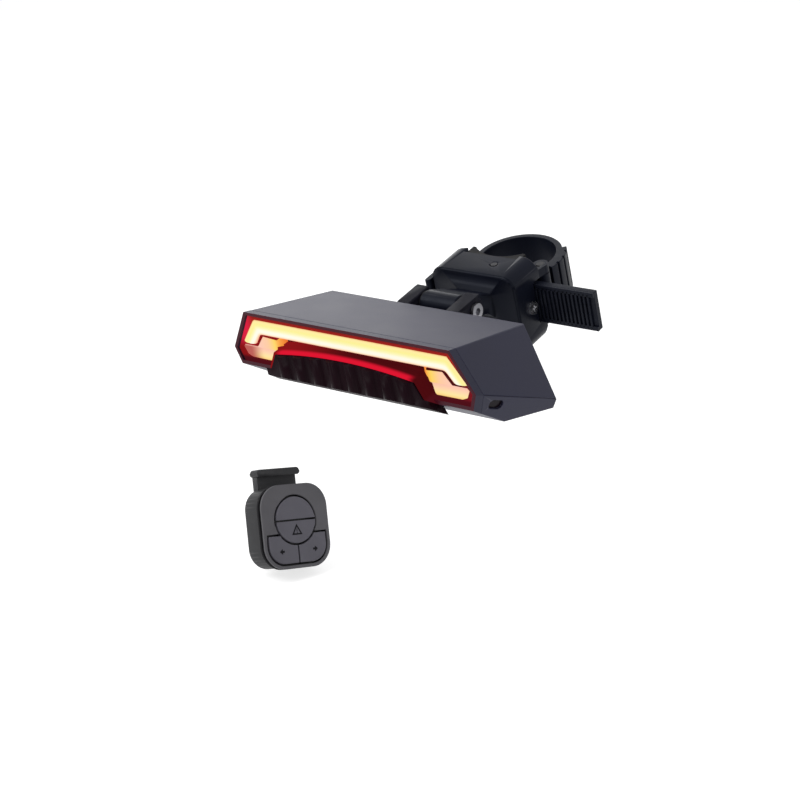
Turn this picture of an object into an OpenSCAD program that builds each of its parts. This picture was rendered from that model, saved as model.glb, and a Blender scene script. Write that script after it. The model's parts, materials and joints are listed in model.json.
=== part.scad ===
// Bicycle tail and turn signal lamp on a seat post clamp, with its handlebar remote.
// Millimetres. The origin lies on the seat post's axis, at the middle of the strap.
// +Z is up, the lens faces -Y, and +X is to the right of someone who looks at the lens.

/* [Seat post clamp] */
// Diameter of the seat post that the strap closes on
post_d = 27.2; // [26:0.1:30]
// Lean of the seat post from the vertical, in degrees
post_tilt = 18.4; // [14:0.1:22]
// Width of the clamp block
block_w = 34.4; // [33.6:0.1:40]
// Height of the clamp block along the post
block_h = 31; // [29:0.1:36]
// Depth of the clamp block in front of the post
block_depth = 13.9; // [13.2:0.1:15]
// How far the block's ears reach back beside the post
ear_back = 1; // [0.5:0.1:1.4]
// Radius of the block's long corners
block_corner = 5; // [3:0.1:6]
// Height of the bead round the block's front face
block_bead = 0.8; // [0.4:0.1:1.5]
// Thickness of the rubber pads at their middle
pad_t = 1.6; // [1:0.1:2]
// Half width of the pads
pad_half = 10.8; // [9.5:0.1:11]

/* [Strap and ratchet] */
// Width of the strap
strap_w = 14.6; // [12:0.1:15.5]
// Thickness of the strap
strap_t = 2.2; // [1.8:0.1:2.4]
// How far the strap's tail reaches from the post's axis
strap_tail = 40.5; // [32:0.1:60]
// Distance from rib to rib on the strap
rib_pitch = 1.6; // [1.4:0.1:2]
// Height of the strap's ribs
rib_h = 0.7; // [0.5:0.05:0.9]
// Width of the plain border along both edges of the strap
strap_border = 1.6; // [1:0.1:2.5]
// Height of the release lever along the post
lever_h = 20.6; // [17:0.1:22]
// Thickness of the release lever's arms
lever_t = 2.8; // [2.4:0.1:3]
// Radius of the release lever's pin
lever_pin_r = 1.2; // [1:0.05:1.4]
// Place of the lever's pin to the right of the middle
lever_pin_x = 5; // [4.4:0.1:5.4]
// Radius of the pin that anchors the strap
strap_pin_r = 1.5; // [1.2:0.05:1.7]

/* [Tilt hinge] */
// Distance of the tilt bolt from the post's axis, square to the post
pivot_reach = 44; // [42:0.1:54]
// Height of the tilt bolt along the post, above the strap's middle
pivot_h = 11.7; // [9:0.1:13]
// Radius of the hinge knuckles
knuckle_r = 4.7; // [4.3:0.1:5.2]
// Radius of the tilt bolt
bolt_r = 2; // [1.5:0.05:2.2]
// Radius of the tilt bolt's head
bolt_head_r = 2.8; // [2.6:0.1:3.6]
// Width of the clamp's tongue
tongue_w = 14; // [11:0.1:16]
// Height of the tongue's top where it leaves the block
tongue_root = 8.3; // [7:0.1:10]
// Thickness of each fork cheek
cheek_t = 4.9; // [4.4:0.1:6]
// How far the top of each fork cheek runs on past the bolt
cheek_over = 3.6; // [1:0.1:4.4]
// Thickness of the fork's flange on the lamp
flange_t = 3; // [2.4:0.1:4]
// Distance from the lamp's rear face to the tilt bolt
lamp_gap = 11.3; // [10.5:0.1:16]
// Height of the lamp's top above the tilt bolt
lamp_rise = 2.8; // [2:0.1:4]

/* [Lamp body] */
// Width of the lamp's top at its front edge
top_w = 82.3; // [80:0.1:90]
// Depth of the lamp from its top front edge
lamp_depth = 43.2; // [42.6:0.1:50]
// Height of the lamp
lamp_h = 26.5; // [26:0.1:28]
// Height of the front face, from its top edge down
face_drop = 19.2; // [18.8:0.1:20.4]
// Height of the front face above its widest point
kink_drop = 13.4; // [12.6:0.1:14]
// Lean of the front face, in degrees
face_lean = 15; // [12:0.1:17]
// Fall of the top towards the rear, in degrees
top_fall = 1; // [0:0.1:2]
// Lean of the upper side facets, in degrees
side_lean = 29.6; // [28:0.1:31]
// Inward turn of the upper side facets, in degrees
side_taper = 2.9; // [2:0.1:3.6]
// Lean of the lower side facets, in degrees
under_lean = 20.3; // [18:0.1:22]
// Outward turn of the lower side facets, in degrees
under_taper = 10.5; // [9.5:0.1:11.5]
// Slope of the belly behind the front face, in degrees
belly_slope = 23.9; // [22:0.1:25]
// Wall of the housing
wall = 2; // [1.6:0.1:2.2]

/* [Lens and lights] */
// Width of the bezel round the lens
bezel_w = 1.1; // [1:0.1:1.4]
// Depth of the bezel
bezel_depth = 3.4; // [3.2:0.1:4]
// Depth of the lens behind the bezel's front
lens_recess = 1.2; // [0.8:0.1:1.4]
// Height of the light bar
bar_h = 5.2; // [4:0.1:5.6]
// Depth of the light guides
guide_depth = 4.4; // [4.2:0.1:4.5]
// Width of the ribbed grip at its upper corners
grip_w = 55.8; // [52:0.1:56]
// How far the grip's plate stands proud of the front face
grip_rise = 3.4; // [2:0.1:3.6]
// Thickness of the lens's lip round the grip
lip_t = 0.8; // [0.6:0.1:1]
// How far the grip's ribs stand proud of its plate
grip_rib_rise = 1.3; // [0.6:0.1:1.4]
// Distance from rib to rib on the grip
grip_pitch = 7; // [6:0.1:9]
// Thickness of the circuit boards
board_t = 1.6; // [1:0.1:1.6]

/* [Remote] */
// Width of the remote's face
remote_w = 34; // [33:0.1:38]
// Height of the remote's face
remote_h = 36; // [35:0.1:40]
// Depth of the remote without its hooks
remote_depth = 17; // [15:0.1:18]
// Radius of the face's corners
remote_corner = 10; // [8:0.1:11]
// Diameter of the round pair of buttons
round_d = 20; // [17:0.1:20.4]
// Travel of the remote's buttons
button_travel = 0.6; // [0.3:0.05:0.8]
// Width of the hook for the rubber band
hook_w = 22.4; // [18:0.1:24]
// Lean of the remote as it stands, in degrees
remote_lean = 19.2; // [16:0.1:20]
// Sideways roll of the remote as it stands, in degrees
remote_roll = -8.4; // [-12:0.1:12]
// Turn of the remote as it stands, in degrees
remote_turn = 78; // [60:1:100]
// Place of the middle of the remote's face: x, y and z
remote_place = [-137.4, 35.8, -134.7]; // [-200:0.1:200]

/* [Hidden] */
$fn = 64;

// Clearances: between seated pieces, between sliding pieces, and of a pin in its hole
seat_gap = 0.1;
slide_gap = 0.3;
pin_gap = 0.05;
// A length that is larger than the whole lamp, and a small overlap for clean cuts
big = 300;
eps = 0.02;

// Colours
black_plastic = [0.09, 0.09, 0.11];
lamp_grey = [0.25, 0.25, 0.29];
gloss_black = [0.05, 0.05, 0.06];
rubber_black = [0.06, 0.06, 0.06];
lens_red = [0.6, 0.02, 0.05];
bar_glow = [1, 0.93, 0.6];
amber = [1, 0.62, 0.3];
steel = [0.75, 0.75, 0.78];
brass = [0.78, 0.62, 0.3];
board_green = [0.08, 0.3, 0.18];
remote_grey = [0.24, 0.24, 0.26];

// Clamp, measured in the post's own frame: x, distance d in front of the axis, height h
post_r = post_d / 2;
strap_r = post_r + strap_t;
rib_r = strap_r + rib_h;
block_front = post_r + block_depth;
block_rear = post_r - ear_back;
pad_seat = post_r + pad_t;
pad_wing = 4;
slot_front = rib_r + slide_gap;
slot_half = strap_w / 2 + slide_gap;

// Strap: ribs on the tail, the eye at its anchored end and the thicker head beside it
rib_from = 1;
rib_count = floor((strap_tail - rib_from - rib_pitch) / rib_pitch);
strap_eye_r = strap_pin_r + 1.2;
strap_eye_turn = 62;
strap_eye_dist = post_r + strap_eye_r + 0.8;
strap_pin_x = strap_eye_dist * sin(strap_eye_turn);
strap_pin_d = strap_eye_dist * cos(strap_eye_turn);
lug_h = 3;
head_t = 1.5;
head_from = 76;
head_to = 128;
head_grooves = [88, 102, 116];
head_groove = 1;

// Release lever: two arms on a pin, teeth under the right arm, a thumb tab on the left
cave_wall = 2.6;
cave_half = lever_h / 2 + slide_gap;
cave_right = block_w / 2 - cave_wall;
cave_front = block_front - cave_wall;
lever_eye_r = lever_pin_r + 1.4;
lever_pin_d = slot_front + lever_eye_r + slide_gap + 0.5;
arm_rear = slot_front + slide_gap;
arm_end = cave_right - 1.4;
tab_t = 2.3;
tab_gap = 0.4;
tab_rear = lever_pin_d + 0.1;
tab_front = block_front + 1.3;
lever_end = -block_w / 2 - tab_gap - tab_t;
tooth_w = 0.35;
tooth_slack = 0.08;
tooth_bite = 0.5;
tooth_half = strap_w / 2 - strap_border - slide_gap;
tooth_ribs = [for (k = [0:rib_count])
  if (rib_from + k * rib_pitch > lever_pin_x + 5.6 && rib_from + (k + 1) * rib_pitch < arm_end) k];
spring_t = 0.4;
spring_h = 6;
screw_r = 1.25;
spring_screw_d = slot_front + 2.9;
spring_head_r = 2.2;
spring_head_h = 1;

// Tilt hinge in the part's frame
pivot_y = -(pivot_reach * cos(post_tilt) + pivot_h * sin(post_tilt));
pivot_z = -pivot_reach * sin(post_tilt) + pivot_h * cos(post_tilt);
washer_t = 0.5;
washer_r = knuckle_r - 0.4;
cheek_in = tongue_w / 2 + washer_t + 2 * seat_gap;
cheek_out = cheek_in + cheek_t;
flange_half = cheek_out + 6.4;
flange_top = -1.8;
flange_low = -20.4;
flange_corner = 3;
fork_screw_x = cheek_out + 3.3;
fork_screw_z = [-6.4, -16.4];
fork_screw_len = 6.4;
head_sink = 1.4;
bolt_head_h = 2.4;
nut_r = 3.7;
nut_h = 2.6;

// Lamp, measured from the middle of its top front edge
lamp_origin = [0, pivot_y - lamp_depth - lamp_gap, pivot_z + lamp_rise];
upper_turn = [0, 90 - side_lean, side_taper];
under_turn = [0, 90 + under_lean, -under_taper];
upper_normal = [cos(side_lean) * cos(side_taper), cos(side_lean) * sin(side_taper), sin(side_lean)];
under_normal = [cos(under_lean) * cos(under_taper), -cos(under_lean) * sin(under_taper), -sin(under_lean)];
crease = cross(upper_normal, under_normal);
crease_slope = atan(-crease[2] / crease[1]);
kink_y = kink_drop * tan(face_lean);
kink_x = top_w / 2 - (upper_normal[1] * kink_y - upper_normal[2] * kink_drop) / upper_normal[0];
kink = [kink_x, kink_y, -kink_drop];
face_bottom = [0, face_drop * tan(face_lean), -face_drop];
floor_z = -lamp_h + wall;
rear_in = lamp_depth - wall;
flat_from = face_bottom[1] + (lamp_h - face_drop) / tan(belly_slope);
pivot_in_lamp = [lamp_depth + lamp_gap, -lamp_rise];

// Front stack, as depth s behind the front face
lens_inset = 0.7;
lip_gap = 0.4;
lip_web = 0.8;
reflector_t = 1.6;
reflector_front = bezel_depth + seat_gap;
reflector_back = reflector_front + reflector_t;
guide_back = lens_recess + guide_depth;
led_t = 0.9;
board_front = guide_back + led_t + slide_gap;
board_back = board_front + board_t;
board_half = 37;
board_top = -5;
board_low = -17.4;
post_places = [[-24, -13.5], [-9, -13.5], [9, -13.5], [24, -13.5]];

// Light bar and arrows, in the plane of the front face
bar_top = -3.2;
bar_corner = top_w / 2 - 2.3;
bar_inner = bar_corner - 1.7;
bar_end = [kink_x - 3.6, -kink_drop + 1.2];
bar_end_w = 5.2;
root_drop = 1.2;
root_step = 0.3;
arrow_gap = 0.6;
arrow_low = -17.5;
arrow_inner = grip_w / 2 + lip_t + 1.4;
ramp_run = 2.6;
ramp_h = 2.2;
led_pitch = 8;
led_count = 9;
led_size = [3.5, 2.8];
led_v = board_top - led_size[1] / 2 - 0.2;
amber_size = [2, 2.8];
amber_u = [31, 33.5, 36];
amber_v = -15.6;

// Grip
grip_top = -9.7;
grip_arch = 2.3;
grip_corner = grip_top - grip_arch;
grip_flare = 0.5;
grip_reach = 30;
grip_hang = 2.2;
foot_half = 32.6;
foot_depth = 1;
grip_rib_r = 3;
grip_ribs = round(grip_w / grip_pitch / 2);
grip_arch_r = (grip_w * grip_w / 4 + grip_arch * grip_arch) / (2 * grip_arch);

// Things inside the lamp: the housing's screws, then the cell on the left and the board beside it
boss_r = 3.2;
cap_r = 2.3;
cap_h = 1.5;
cap_depth = 2.1;
screw_len = 11;
screw_x = kink_x - 11;
screw_rows = [flat_from + cap_r + 0.6, rear_in - boss_r - 1.5];
screw_places = [for (x = [-screw_x, screw_x], y = screw_rows) [x, y]];
cell_d = 14.2;
cell_len = 50;
cell_x = cell_len / 2 + boss_r + 1 - screw_x;
cell_y = rear_in - cell_d / 2 - 4.8;
cboard_x = [cell_x + cell_len / 2 + 2, screw_x - boss_r - 0.8];
cboard_y = [flat_from - 2, rear_in - 0.4];
cboard_z = floor_z + 3.4;
cpost_r = 1.8;
button_r = 4;
button_x = (cboard_x[0] + cboard_x[1]) / 2;
button_y = (flat_from + rear_in) / 2;
button_flange = 0.8;
button_rise = 0.7;
power_travel = 0.8;
switch_w = 6;
switch_drop = 1.1;
usb_w = 8;
usb_h = 3;
usb_len = 5.6;
usb_z = cboard_z + board_t + usb_h / 2;
usb_hole = [usb_w + 1, usb_h + 1.2];
cover_size = [usb_hole[0] + 4, usb_hole[1] + 3.4];
cover_sink = 0.8;
cover_proud = 0.4;
cover_t = cover_sink + cover_proud - seat_gap;
cover_hinge = [lamp_depth + cover_proud - cover_t / 2, usb_z + cover_size[1] / 2];
usb_x = max(button_x, flange_half + cover_size[0] / 2 + 0.7);
plug_len = 0.9;
seal_w = 0.8;
seal_t = 1;
laser_r = 2.4;
laser_len = 7;
laser_down = 6;
laser_back = 10.8;
laser_size = [3.2, 6.6];
facet_down = [-sin(under_lean) * cos(under_taper), sin(under_lean) * sin(under_taper), -cos(under_lean)];
laser_turn = asin(crease * facet_down / norm(crease));
window_sink = 0.8;

// Remote, measured from the middle of its face
face_t = 4;
skin = 1.6;
shell_gap = 0.9;
case_inset = 0.8;
rim_t = 1;
case_step = 3.4;
case_back = -remote_depth + case_step;
round_v = 2.6;
groove = 0.8;
seam_from = 0.9;
seam_to = 2.7;
seam_depth = 0.8;
key_margin = 2.3;
key_top = -3.6;
key_back = -skin - 1;
key_rise = 0.3;
rswitch_t = 1.2;
rswitch_r = 2.2;
key_mid = [remote_w / 4, -remote_h * 0.29];
rswitch_places = [[0, round_v + round_d / 4], [0, round_v - round_d / 4], key_mid, [-key_mid[0], key_mid[1]]];
rboard_front = key_back - button_travel - seat_gap - rswitch_t;
rboard_inset = 3;
coin_r = 10;
coin_t = 3.2;
coin_back = -remote_depth + skin + seat_gap;
door_r = coin_r + 1;
rpost_r = 1.5;
rpost_places = [[-11, -11.5], [11, -11.5], [-11, 12], [11, 12]];
hook_back = 2.2;
hook_neck = 3.6;
hook_gap = 4.4;
hook_lip = 3.2;
hook_front = 2;
stand_half = 9;
stand_back = 2.5;
stand_depth = 4.5;
stand_v = -remote_h / 2 + (remote_depth + stand_back - face_t) * tan(remote_lean);

// Frames

module post_frame() {
  rotate([post_tilt, 0, 0]) children();
}

// A drawing in (x, d) made into a solid along the post, from height h0 to h1
module along_post(h0, h1) {
  translate([0, 0, h0]) linear_extrude(h1 - h0) mirror([0, 1]) children();
}

// A drawing in (d, h) made into a solid across the post, from x0 to x1
module across_post(x0, x1) {
  translate([x0, 0, 0]) rotate([90, 0, 90]) linear_extrude(x1 - x0) mirror([1, 0]) children();
}

module lamp_frame() {
  translate(lamp_origin) children();
}

// A drawing in the lamp's (y, z) made into a solid from x0 to x1
module across_lamp(x0, x1) {
  translate([x0, 0, 0]) rotate([90, 0, 90]) linear_extrude(x1 - x0) children();
}

// A drawing in the plane of the front face, from depth s0 to s1 behind it
module behind_face(s0, s1) {
  rotate([90 + face_lean, 0, 0]) translate([0, 0, -s1]) linear_extrude(s1 - s0) children();
}

module remote_frame() {
  translate(remote_place) rotate([90 - remote_lean, 0, remote_turn]) rotate(remote_roll) children();
}

// A drawing in the plane of the remote's face, from w0 to w1 in front of it
module on_remote(w0, w1) {
  translate([0, 0, w0]) linear_extrude(w1 - w0) children();
}

module both_sides() {
  children();
  mirror([1, 0, 0]) children();
}

// Shapes that repeat

module rounded_outline(w, h, r) {
  square([w - 2 * r, h], center = true);
  square([w, h - 2 * r], center = true);
  for (sx = [-1, 1], sy = [-1, 1])
    translate([sx * (w / 2 - r), sy * (h / 2 - r)]) circle(r);
}

// A pan head screw along +z, with the underside of its head at z = 0
module pan_screw(r, length, head_r, head_h) {
  difference() {
    union() {
      translate([0, 0, -head_h]) cylinder(r = head_r, h = head_h);
      translate([0, 0, -eps]) cylinder(r = r, h = length + eps);
    }
    translate([0, 0, -head_h - eps]) linear_extrude(head_h / 2) cross_recess(head_r * 0.6);
  }
}

module cross_recess(reach) {
  for (a = [0, 90]) rotate(a) square([2 * reach, reach * 0.4], center = true);
}

// The half of space below a plane through point, whose normal is +z turned by turn
module half_space(point, turn, inset) {
  translate(point) rotate(turn) translate([-big / 2, -big / 2, -big - inset]) cube(big);
}

// The lamp's outer planes except the front face, each moved inwards by inset
module lamp_sides(inset) {
  intersection() {
    half_space([0, 0, 0], [-top_fall, 0, 0], inset);
    half_space([top_w / 2, 0, 0], upper_turn, inset);
    mirror([1, 0, 0]) half_space([top_w / 2, 0, 0], upper_turn, inset);
    half_space(kink, under_turn, inset);
    mirror([1, 0, 0]) half_space(kink, under_turn, inset);
    half_space(face_bottom, [180 - belly_slope, 0, 0], inset);
    half_space([0, 0, -lamp_h], [180, 0, 0], inset);
    half_space([0, lamp_depth, 0], [-90, 0, 0], inset);
  }
}

// The lamp's outline, moved inwards by inset, between depths s0 and s1 behind the front face
module lamp_layer(inset, s0, s1) {
  intersection() {
    lamp_sides(inset);
    rotate([90 + face_lean, 0, 0]) translate([-big / 2, -big / 2, -s1]) cube([big, big, s1 - s0]);
  }
}

// Everything below the plane of the side creases, which is moved up by rise
module below_crease(rise) {
  translate([0, kink_y, -kink_drop + rise]) rotate([-crease_slope, 0, 0])
    translate([-big / 2, -big / 2, -big]) cube(big);
}

// Seat post clamp

// The block's outline, drawn from distance d0 to d1 in front of the post's axis
module block_slice(inset, d0, d1) {
  translate([0, -d0, 0]) rotate([90, 0, 0]) linear_extrude(d1 - d0)
    rounded_outline(block_w - 2 * inset, block_h - 2 * inset, block_corner - inset);
}

module tongue_profile() {
  polygon([
    [block_front - 1, pivot_h - knuckle_r - 9], [block_front - 1, tongue_root], [block_front, tongue_root],
    touch_point([block_front, tongue_root], [pivot_reach, pivot_h], knuckle_r, 1), [pivot_reach, pivot_h],
    [pivot_reach, pivot_h - knuckle_r], [block_front + 3.5, pivot_h - knuckle_r - 4.5]
  ]);
  translate([pivot_reach, pivot_h]) circle(knuckle_r);
}

module strap_lugs() {
  for (h = [slot_half, -slot_half - lug_h])
    along_post(h, h + lug_h) {
      translate([strap_pin_x, strap_pin_d]) circle(strap_eye_r);
      polygon([
        [strap_pin_x - strap_eye_r, strap_pin_d], [strap_pin_x + strap_eye_r, strap_pin_d],
        [block_w / 2 - block_bead, block_rear + 2], [strap_pin_x - strap_eye_r, block_rear + 2]
      ]);
    }
}

module clamp_block() {
  color(black_plastic) post_frame() difference() {
    union() {
      block_slice(0, block_rear, block_front - block_bead);
      block_slice(block_bead, block_front - block_bead - eps, block_front);
      across_post(-tongue_w / 2, tongue_w / 2) tongue_profile();
      strap_lugs();
    }
    // Seat of the pads, and room for the post
    along_post(-block_h, block_h) {
      translate([-pad_half - seat_gap, 0]) square([2 * (pad_half + seat_gap), pad_seat]);
      circle(post_r + slide_gap);
    }
    // Way of the strap: round the left ear, and straight out to the right
    along_post(-slot_half, slot_half) {
      circle(rib_r + slide_gap);
      square([block_w, slot_front]);
    }
    // Room for the release lever, open to the left
    along_post(-cave_half, cave_half)
      translate([-block_w, slot_front - eps]) square([block_w + cave_right, cave_front - slot_front + eps]);
    // Holes for the pins, the tilt bolt and the spring screw
    along_post(-block_h, block_h) {
      translate([lever_pin_x, lever_pin_d]) circle(lever_pin_r + pin_gap);
      translate([strap_pin_x, strap_pin_d]) circle(strap_pin_r + pin_gap);
    }
    across_post(-tongue_w, tongue_w) translate([pivot_reach, pivot_h]) circle(bolt_r + pin_gap);
    across_post(lever_pin_x, block_w) translate([spring_screw_d, 0]) circle(screw_r + pin_gap);
  }
}

module pad_outline() {
  difference() {
    translate([-pad_half, post_r - pad_wing]) square([2 * pad_half, pad_wing + pad_t - seat_gap]);
    circle(post_r);
  }
}

module saddle_pads() {
  color(rubber_black) post_frame() {
    along_post(slot_half + seat_gap, block_h / 2 - 1) pad_outline();
    along_post(-block_h / 2 + 1, -slot_half - seat_gap) pad_outline();
  }
}

// Strap

// The part of a ring from angle a0 to a1, counted from the front to the right
module ring_part(r0, r1, a0, a1) {
  step = (360 - a1 + a0) / 4;
  difference() {
    circle(r1);
    circle(r0);
    polygon(concat([[0, 0]], [for (k = [0:4]) 2 * r1 * [sin(a1 + k * step), cos(a1 + k * step)]]));
  }
}

module strap_line() {
  difference() {
    union() {
      ring_part(post_r, strap_r, strap_eye_turn, 360);
      ring_part(post_r, strap_r + head_t, head_from, head_to);
      translate([-eps, post_r]) square([strap_tail + eps, strap_t]);
      translate([strap_pin_x, strap_pin_d]) circle(strap_eye_r);
    }
    circle(post_r);
    translate([strap_pin_x, strap_pin_d]) circle(strap_pin_r + pin_gap);
    // Grooves that let the strap's head bend
    for (a = head_grooves)
      rotate(-a) translate([-head_groove / 2, strap_r + head_t / 2]) square([head_groove, head_t]);
  }
}

module strap() {
  color(black_plastic) post_frame() {
    along_post(-strap_w / 2, strap_w / 2) strap_line();
    // Borders along the tail, and the ribs between them
    for (h = [strap_w / 2 - strap_border, -strap_w / 2])
      along_post(h, h + strap_border) translate([0, strap_r - eps]) square([strap_tail, rib_h + eps]);
    along_post(-strap_w / 2 + eps, strap_w / 2 - eps)
      for (k = [0:rib_count])
        translate([rib_from + k * rib_pitch, strap_r - eps]) square([rib_pitch / 2, rib_h + eps]);
  }
}

module strap_pin() {
  color(steel) post_frame() along_post(-slot_half - lug_h, slot_half + lug_h)
    translate([strap_pin_x, strap_pin_d]) circle(strap_pin_r);
}

// Ratchet

module lever_profile() {
  difference() {
    union() {
      // Left arm, which leans forwards to the tab
      polygon([
        [lever_pin_x, lever_pin_d - lever_t / 2], [lever_end + tab_t / 2, tab_rear],
        [lever_end + tab_t / 2, tab_rear + lever_t], [lever_pin_x, lever_pin_d + lever_t / 2]
      ]);
      // Right arm over the strap's ribs
      polygon([
        [lever_pin_x, lever_pin_d - lever_eye_r], [arm_end, arm_rear],
        [arm_end, arm_rear + lever_t], [lever_pin_x, lever_pin_d + lever_eye_r - 0.4]
      ]);
      translate([lever_end, tab_rear + tab_t / 2]) square([tab_t, tab_front - tab_rear - tab_t]);
      for (d = [tab_rear + tab_t / 2, tab_front - tab_t / 2])
        translate([lever_end + tab_t / 2, d]) circle(tab_t / 2);
      translate([lever_pin_x, lever_pin_d]) circle(lever_eye_r);
    }
    translate([lever_pin_x, lever_pin_d]) circle(lever_pin_r + pin_gap);
  }
}

module release_lever() {
  color(black_plastic) post_frame() {
    along_post(-lever_h / 2, lever_h / 2) lever_profile();
    // Teeth that stand in the gaps between the strap's ribs
    along_post(-tooth_half, tooth_half)
      for (k = tooth_ribs)
        translate([rib_from + (k + 0.5) * rib_pitch + tooth_slack, rib_r - tooth_bite])
          square([tooth_w, arm_rear + lever_t / 2 - rib_r + tooth_bite]);
  }
}

module lever_pin() {
  color(steel) post_frame() along_post(-block_h / 2, block_h / 2)
    translate([lever_pin_x, lever_pin_d]) circle(lever_pin_r);
}

// A bent leaf: its foot stands on the right wall, its tip leans on the lever's right arm
module lever_spring() {
  foot = [cave_right - spring_t, spring_screw_d - 2.4];
  bend = [cave_right - spring_t, cave_front - spring_t];
  tip = [lever_pin_x + lever_eye_r + 1, arm_rear + lever_t + 1.4];
  color(steel) post_frame() difference() {
    along_post(-spring_h / 2, spring_h / 2) {
      translate(foot) square([spring_t, cave_front - foot[1]]);
      polygon([bend, bend + [spring_t, 0], bend + [spring_t, spring_t], tip + [0, spring_t], tip]);
    }
    across_post(0, block_w) translate([spring_screw_d, 0]) circle(screw_r + pin_gap);
  }
}

module spring_screw() {
  color(steel) post_frame() translate([block_w / 2, -spring_screw_d, 0]) rotate([0, -90, 0])
    pan_screw(screw_r, cave_wall + spring_t + slide_gap, spring_head_r, spring_head_h);
}

// Tilt hinge

// The point where a line from q touches a circle round p: its left side for 1, its right side for -1
function touch_point(q, p, r, side) =
  let (dist = norm(p - q), turn = atan2(p[1] - q[1], p[0] - q[0]) + side * asin(r / dist))
  q + sqrt(dist * dist - r * r) * [cos(turn), sin(turn)];

module cheek_profile() {
  crown = pivot_in_lamp + knuckle_r * [-sin(post_tilt), cos(post_tilt)];
  root_y = lamp_depth + flange_t / 2;
  run = (crown[0] - root_y) / cos(post_tilt);
  heel = [root_y, flange_low + 3];
  polygon([
    crown + cheek_over * [cos(post_tilt), sin(post_tilt)], crown - run * [cos(post_tilt), sin(post_tilt)],
    heel, touch_point(heel, pivot_in_lamp, knuckle_r, -1), pivot_in_lamp
  ]);
  translate(pivot_in_lamp) circle(knuckle_r);
}

module at_fork_screws() {
  for (x = [-fork_screw_x, fork_screw_x], z = fork_screw_z)
    translate([x, lamp_depth + flange_t, z]) rotate([90, 0, 0]) children();
}

module lamp_fork() {
  color(black_plastic) lamp_frame() difference() {
    union() {
      translate([0, lamp_depth + flange_t, (flange_top + flange_low) / 2]) rotate([90, 0, 0])
        linear_extrude(flange_t) rounded_outline(2 * flange_half, flange_top - flange_low, flange_corner);
      both_sides() across_lamp(cheek_in, cheek_out) cheek_profile();
    }
    across_lamp(-big / 2, big / 2) translate(pivot_in_lamp) circle(bolt_r + seat_gap);
    // Seats of the bolt's head on the right and of the nut on the left
    across_lamp(cheek_out - head_sink, big / 2) translate(pivot_in_lamp) circle(bolt_head_r + seat_gap);
    across_lamp(-big / 2, -cheek_out + head_sink) translate(pivot_in_lamp) circle(nut_r + seat_gap, $fn = 6);
    at_fork_screws() translate([0, 0, -eps]) cylinder(r = screw_r + seat_gap, h = 2 * flange_t);
  }
}

module fork_screws() {
  color(steel) lamp_frame() at_fork_screws() pan_screw(screw_r, fork_screw_len, cap_r, cap_h);
}

module tilt_bolt() {
  color(steel) lamp_frame() difference() {
    union() {
      across_lamp(-cheek_out - nut_h + head_sink, cheek_out - head_sink + eps)
        translate(pivot_in_lamp) circle(bolt_r);
      across_lamp(cheek_out - head_sink, cheek_out - head_sink + bolt_head_h)
        translate(pivot_in_lamp) circle(bolt_head_r);
    }
    across_lamp(cheek_out - head_sink + bolt_head_h / 2, big / 2)
      translate(pivot_in_lamp) circle(bolt_head_r / 2, $fn = 6);
  }
}

module tilt_nut() {
  color(steel) lamp_frame() across_lamp(-cheek_out + head_sink - nut_h, -cheek_out + head_sink)
    translate(pivot_in_lamp) difference() {
      circle(nut_r, $fn = 6);
      circle(bolt_r + pin_gap);
    }
}

module friction_washers() {
  color(rubber_black) lamp_frame() both_sides()
    across_lamp(cheek_in - washer_t - seat_gap / 2, cheek_in - seat_gap / 2)
      translate(pivot_in_lamp) difference() {
        circle(washer_r);
        circle(bolt_r + seat_gap);
      }
}

// Lamp housing

module housing_screw_bosses(r) {
  for (p = screw_places) translate([p[0], p[1], -lamp_h]) cylinder(r = r, h = lamp_h);
}

module housing_screw_holes(r) {
  for (p = screw_places)
    translate([p[0], p[1], -lamp_h - 1]) cylinder(r = r, h = cap_depth + screw_len + 1 + slide_gap);
}

module usb_opening() {
  translate([usb_x - usb_hole[0] / 2, rear_in - 1, usb_z - usb_hole[1] / 2])
    cube([usb_hole[0], 2 * wall, usb_hole[1]]);
  pocket = cover_size + [2 * slide_gap, 2 * slide_gap];
  translate([usb_x - pocket[0] / 2, lamp_depth - cover_sink, usb_z - pocket[1] / 2])
    cube([pocket[0], wall, pocket[1] + cover_t / 2]);
}

module upper_housing() {
  color(lamp_grey) lamp_frame() difference() {
    union() {
      difference() {
        lamp_layer(0, bezel_depth, big);
        lamp_layer(wall, 0, big);
      }
      // Bosses for the housing screws and for the fork screws
      intersection() {
        lamp_layer(wall / 2, bezel_depth, big);
        union() {
          housing_screw_bosses(boss_r);
          at_fork_screws() cylinder(r = boss_r - 0.4, h = fork_screw_len + 1.2);
        }
      }
    }
    below_crease(0);
    housing_screw_holes(screw_r + pin_gap);
    at_fork_screws() cylinder(r = screw_r + pin_gap, h = fork_screw_len + 0.4);
    usb_opening();
  }
}

module seal_ring(extra) {
  intersection() {
    difference() {
      lamp_layer(wall / 2 - seal_w / 2 - extra, bezel_depth, big);
      lamp_layer(wall / 2 + seal_w / 2 + extra, 0, big);
    }
    below_crease(0);
  }
}

module laser_frame() {
  translate(kink) rotate(under_turn) translate([laser_down, laser_back, 0]) rotate(-laser_turn) children();
}

module laser_slot(inset) {
  rounded_outline(laser_size[0] - 2 * inset, laser_size[1] - 2 * inset, laser_size[0] / 2 - inset - eps);
}

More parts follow.
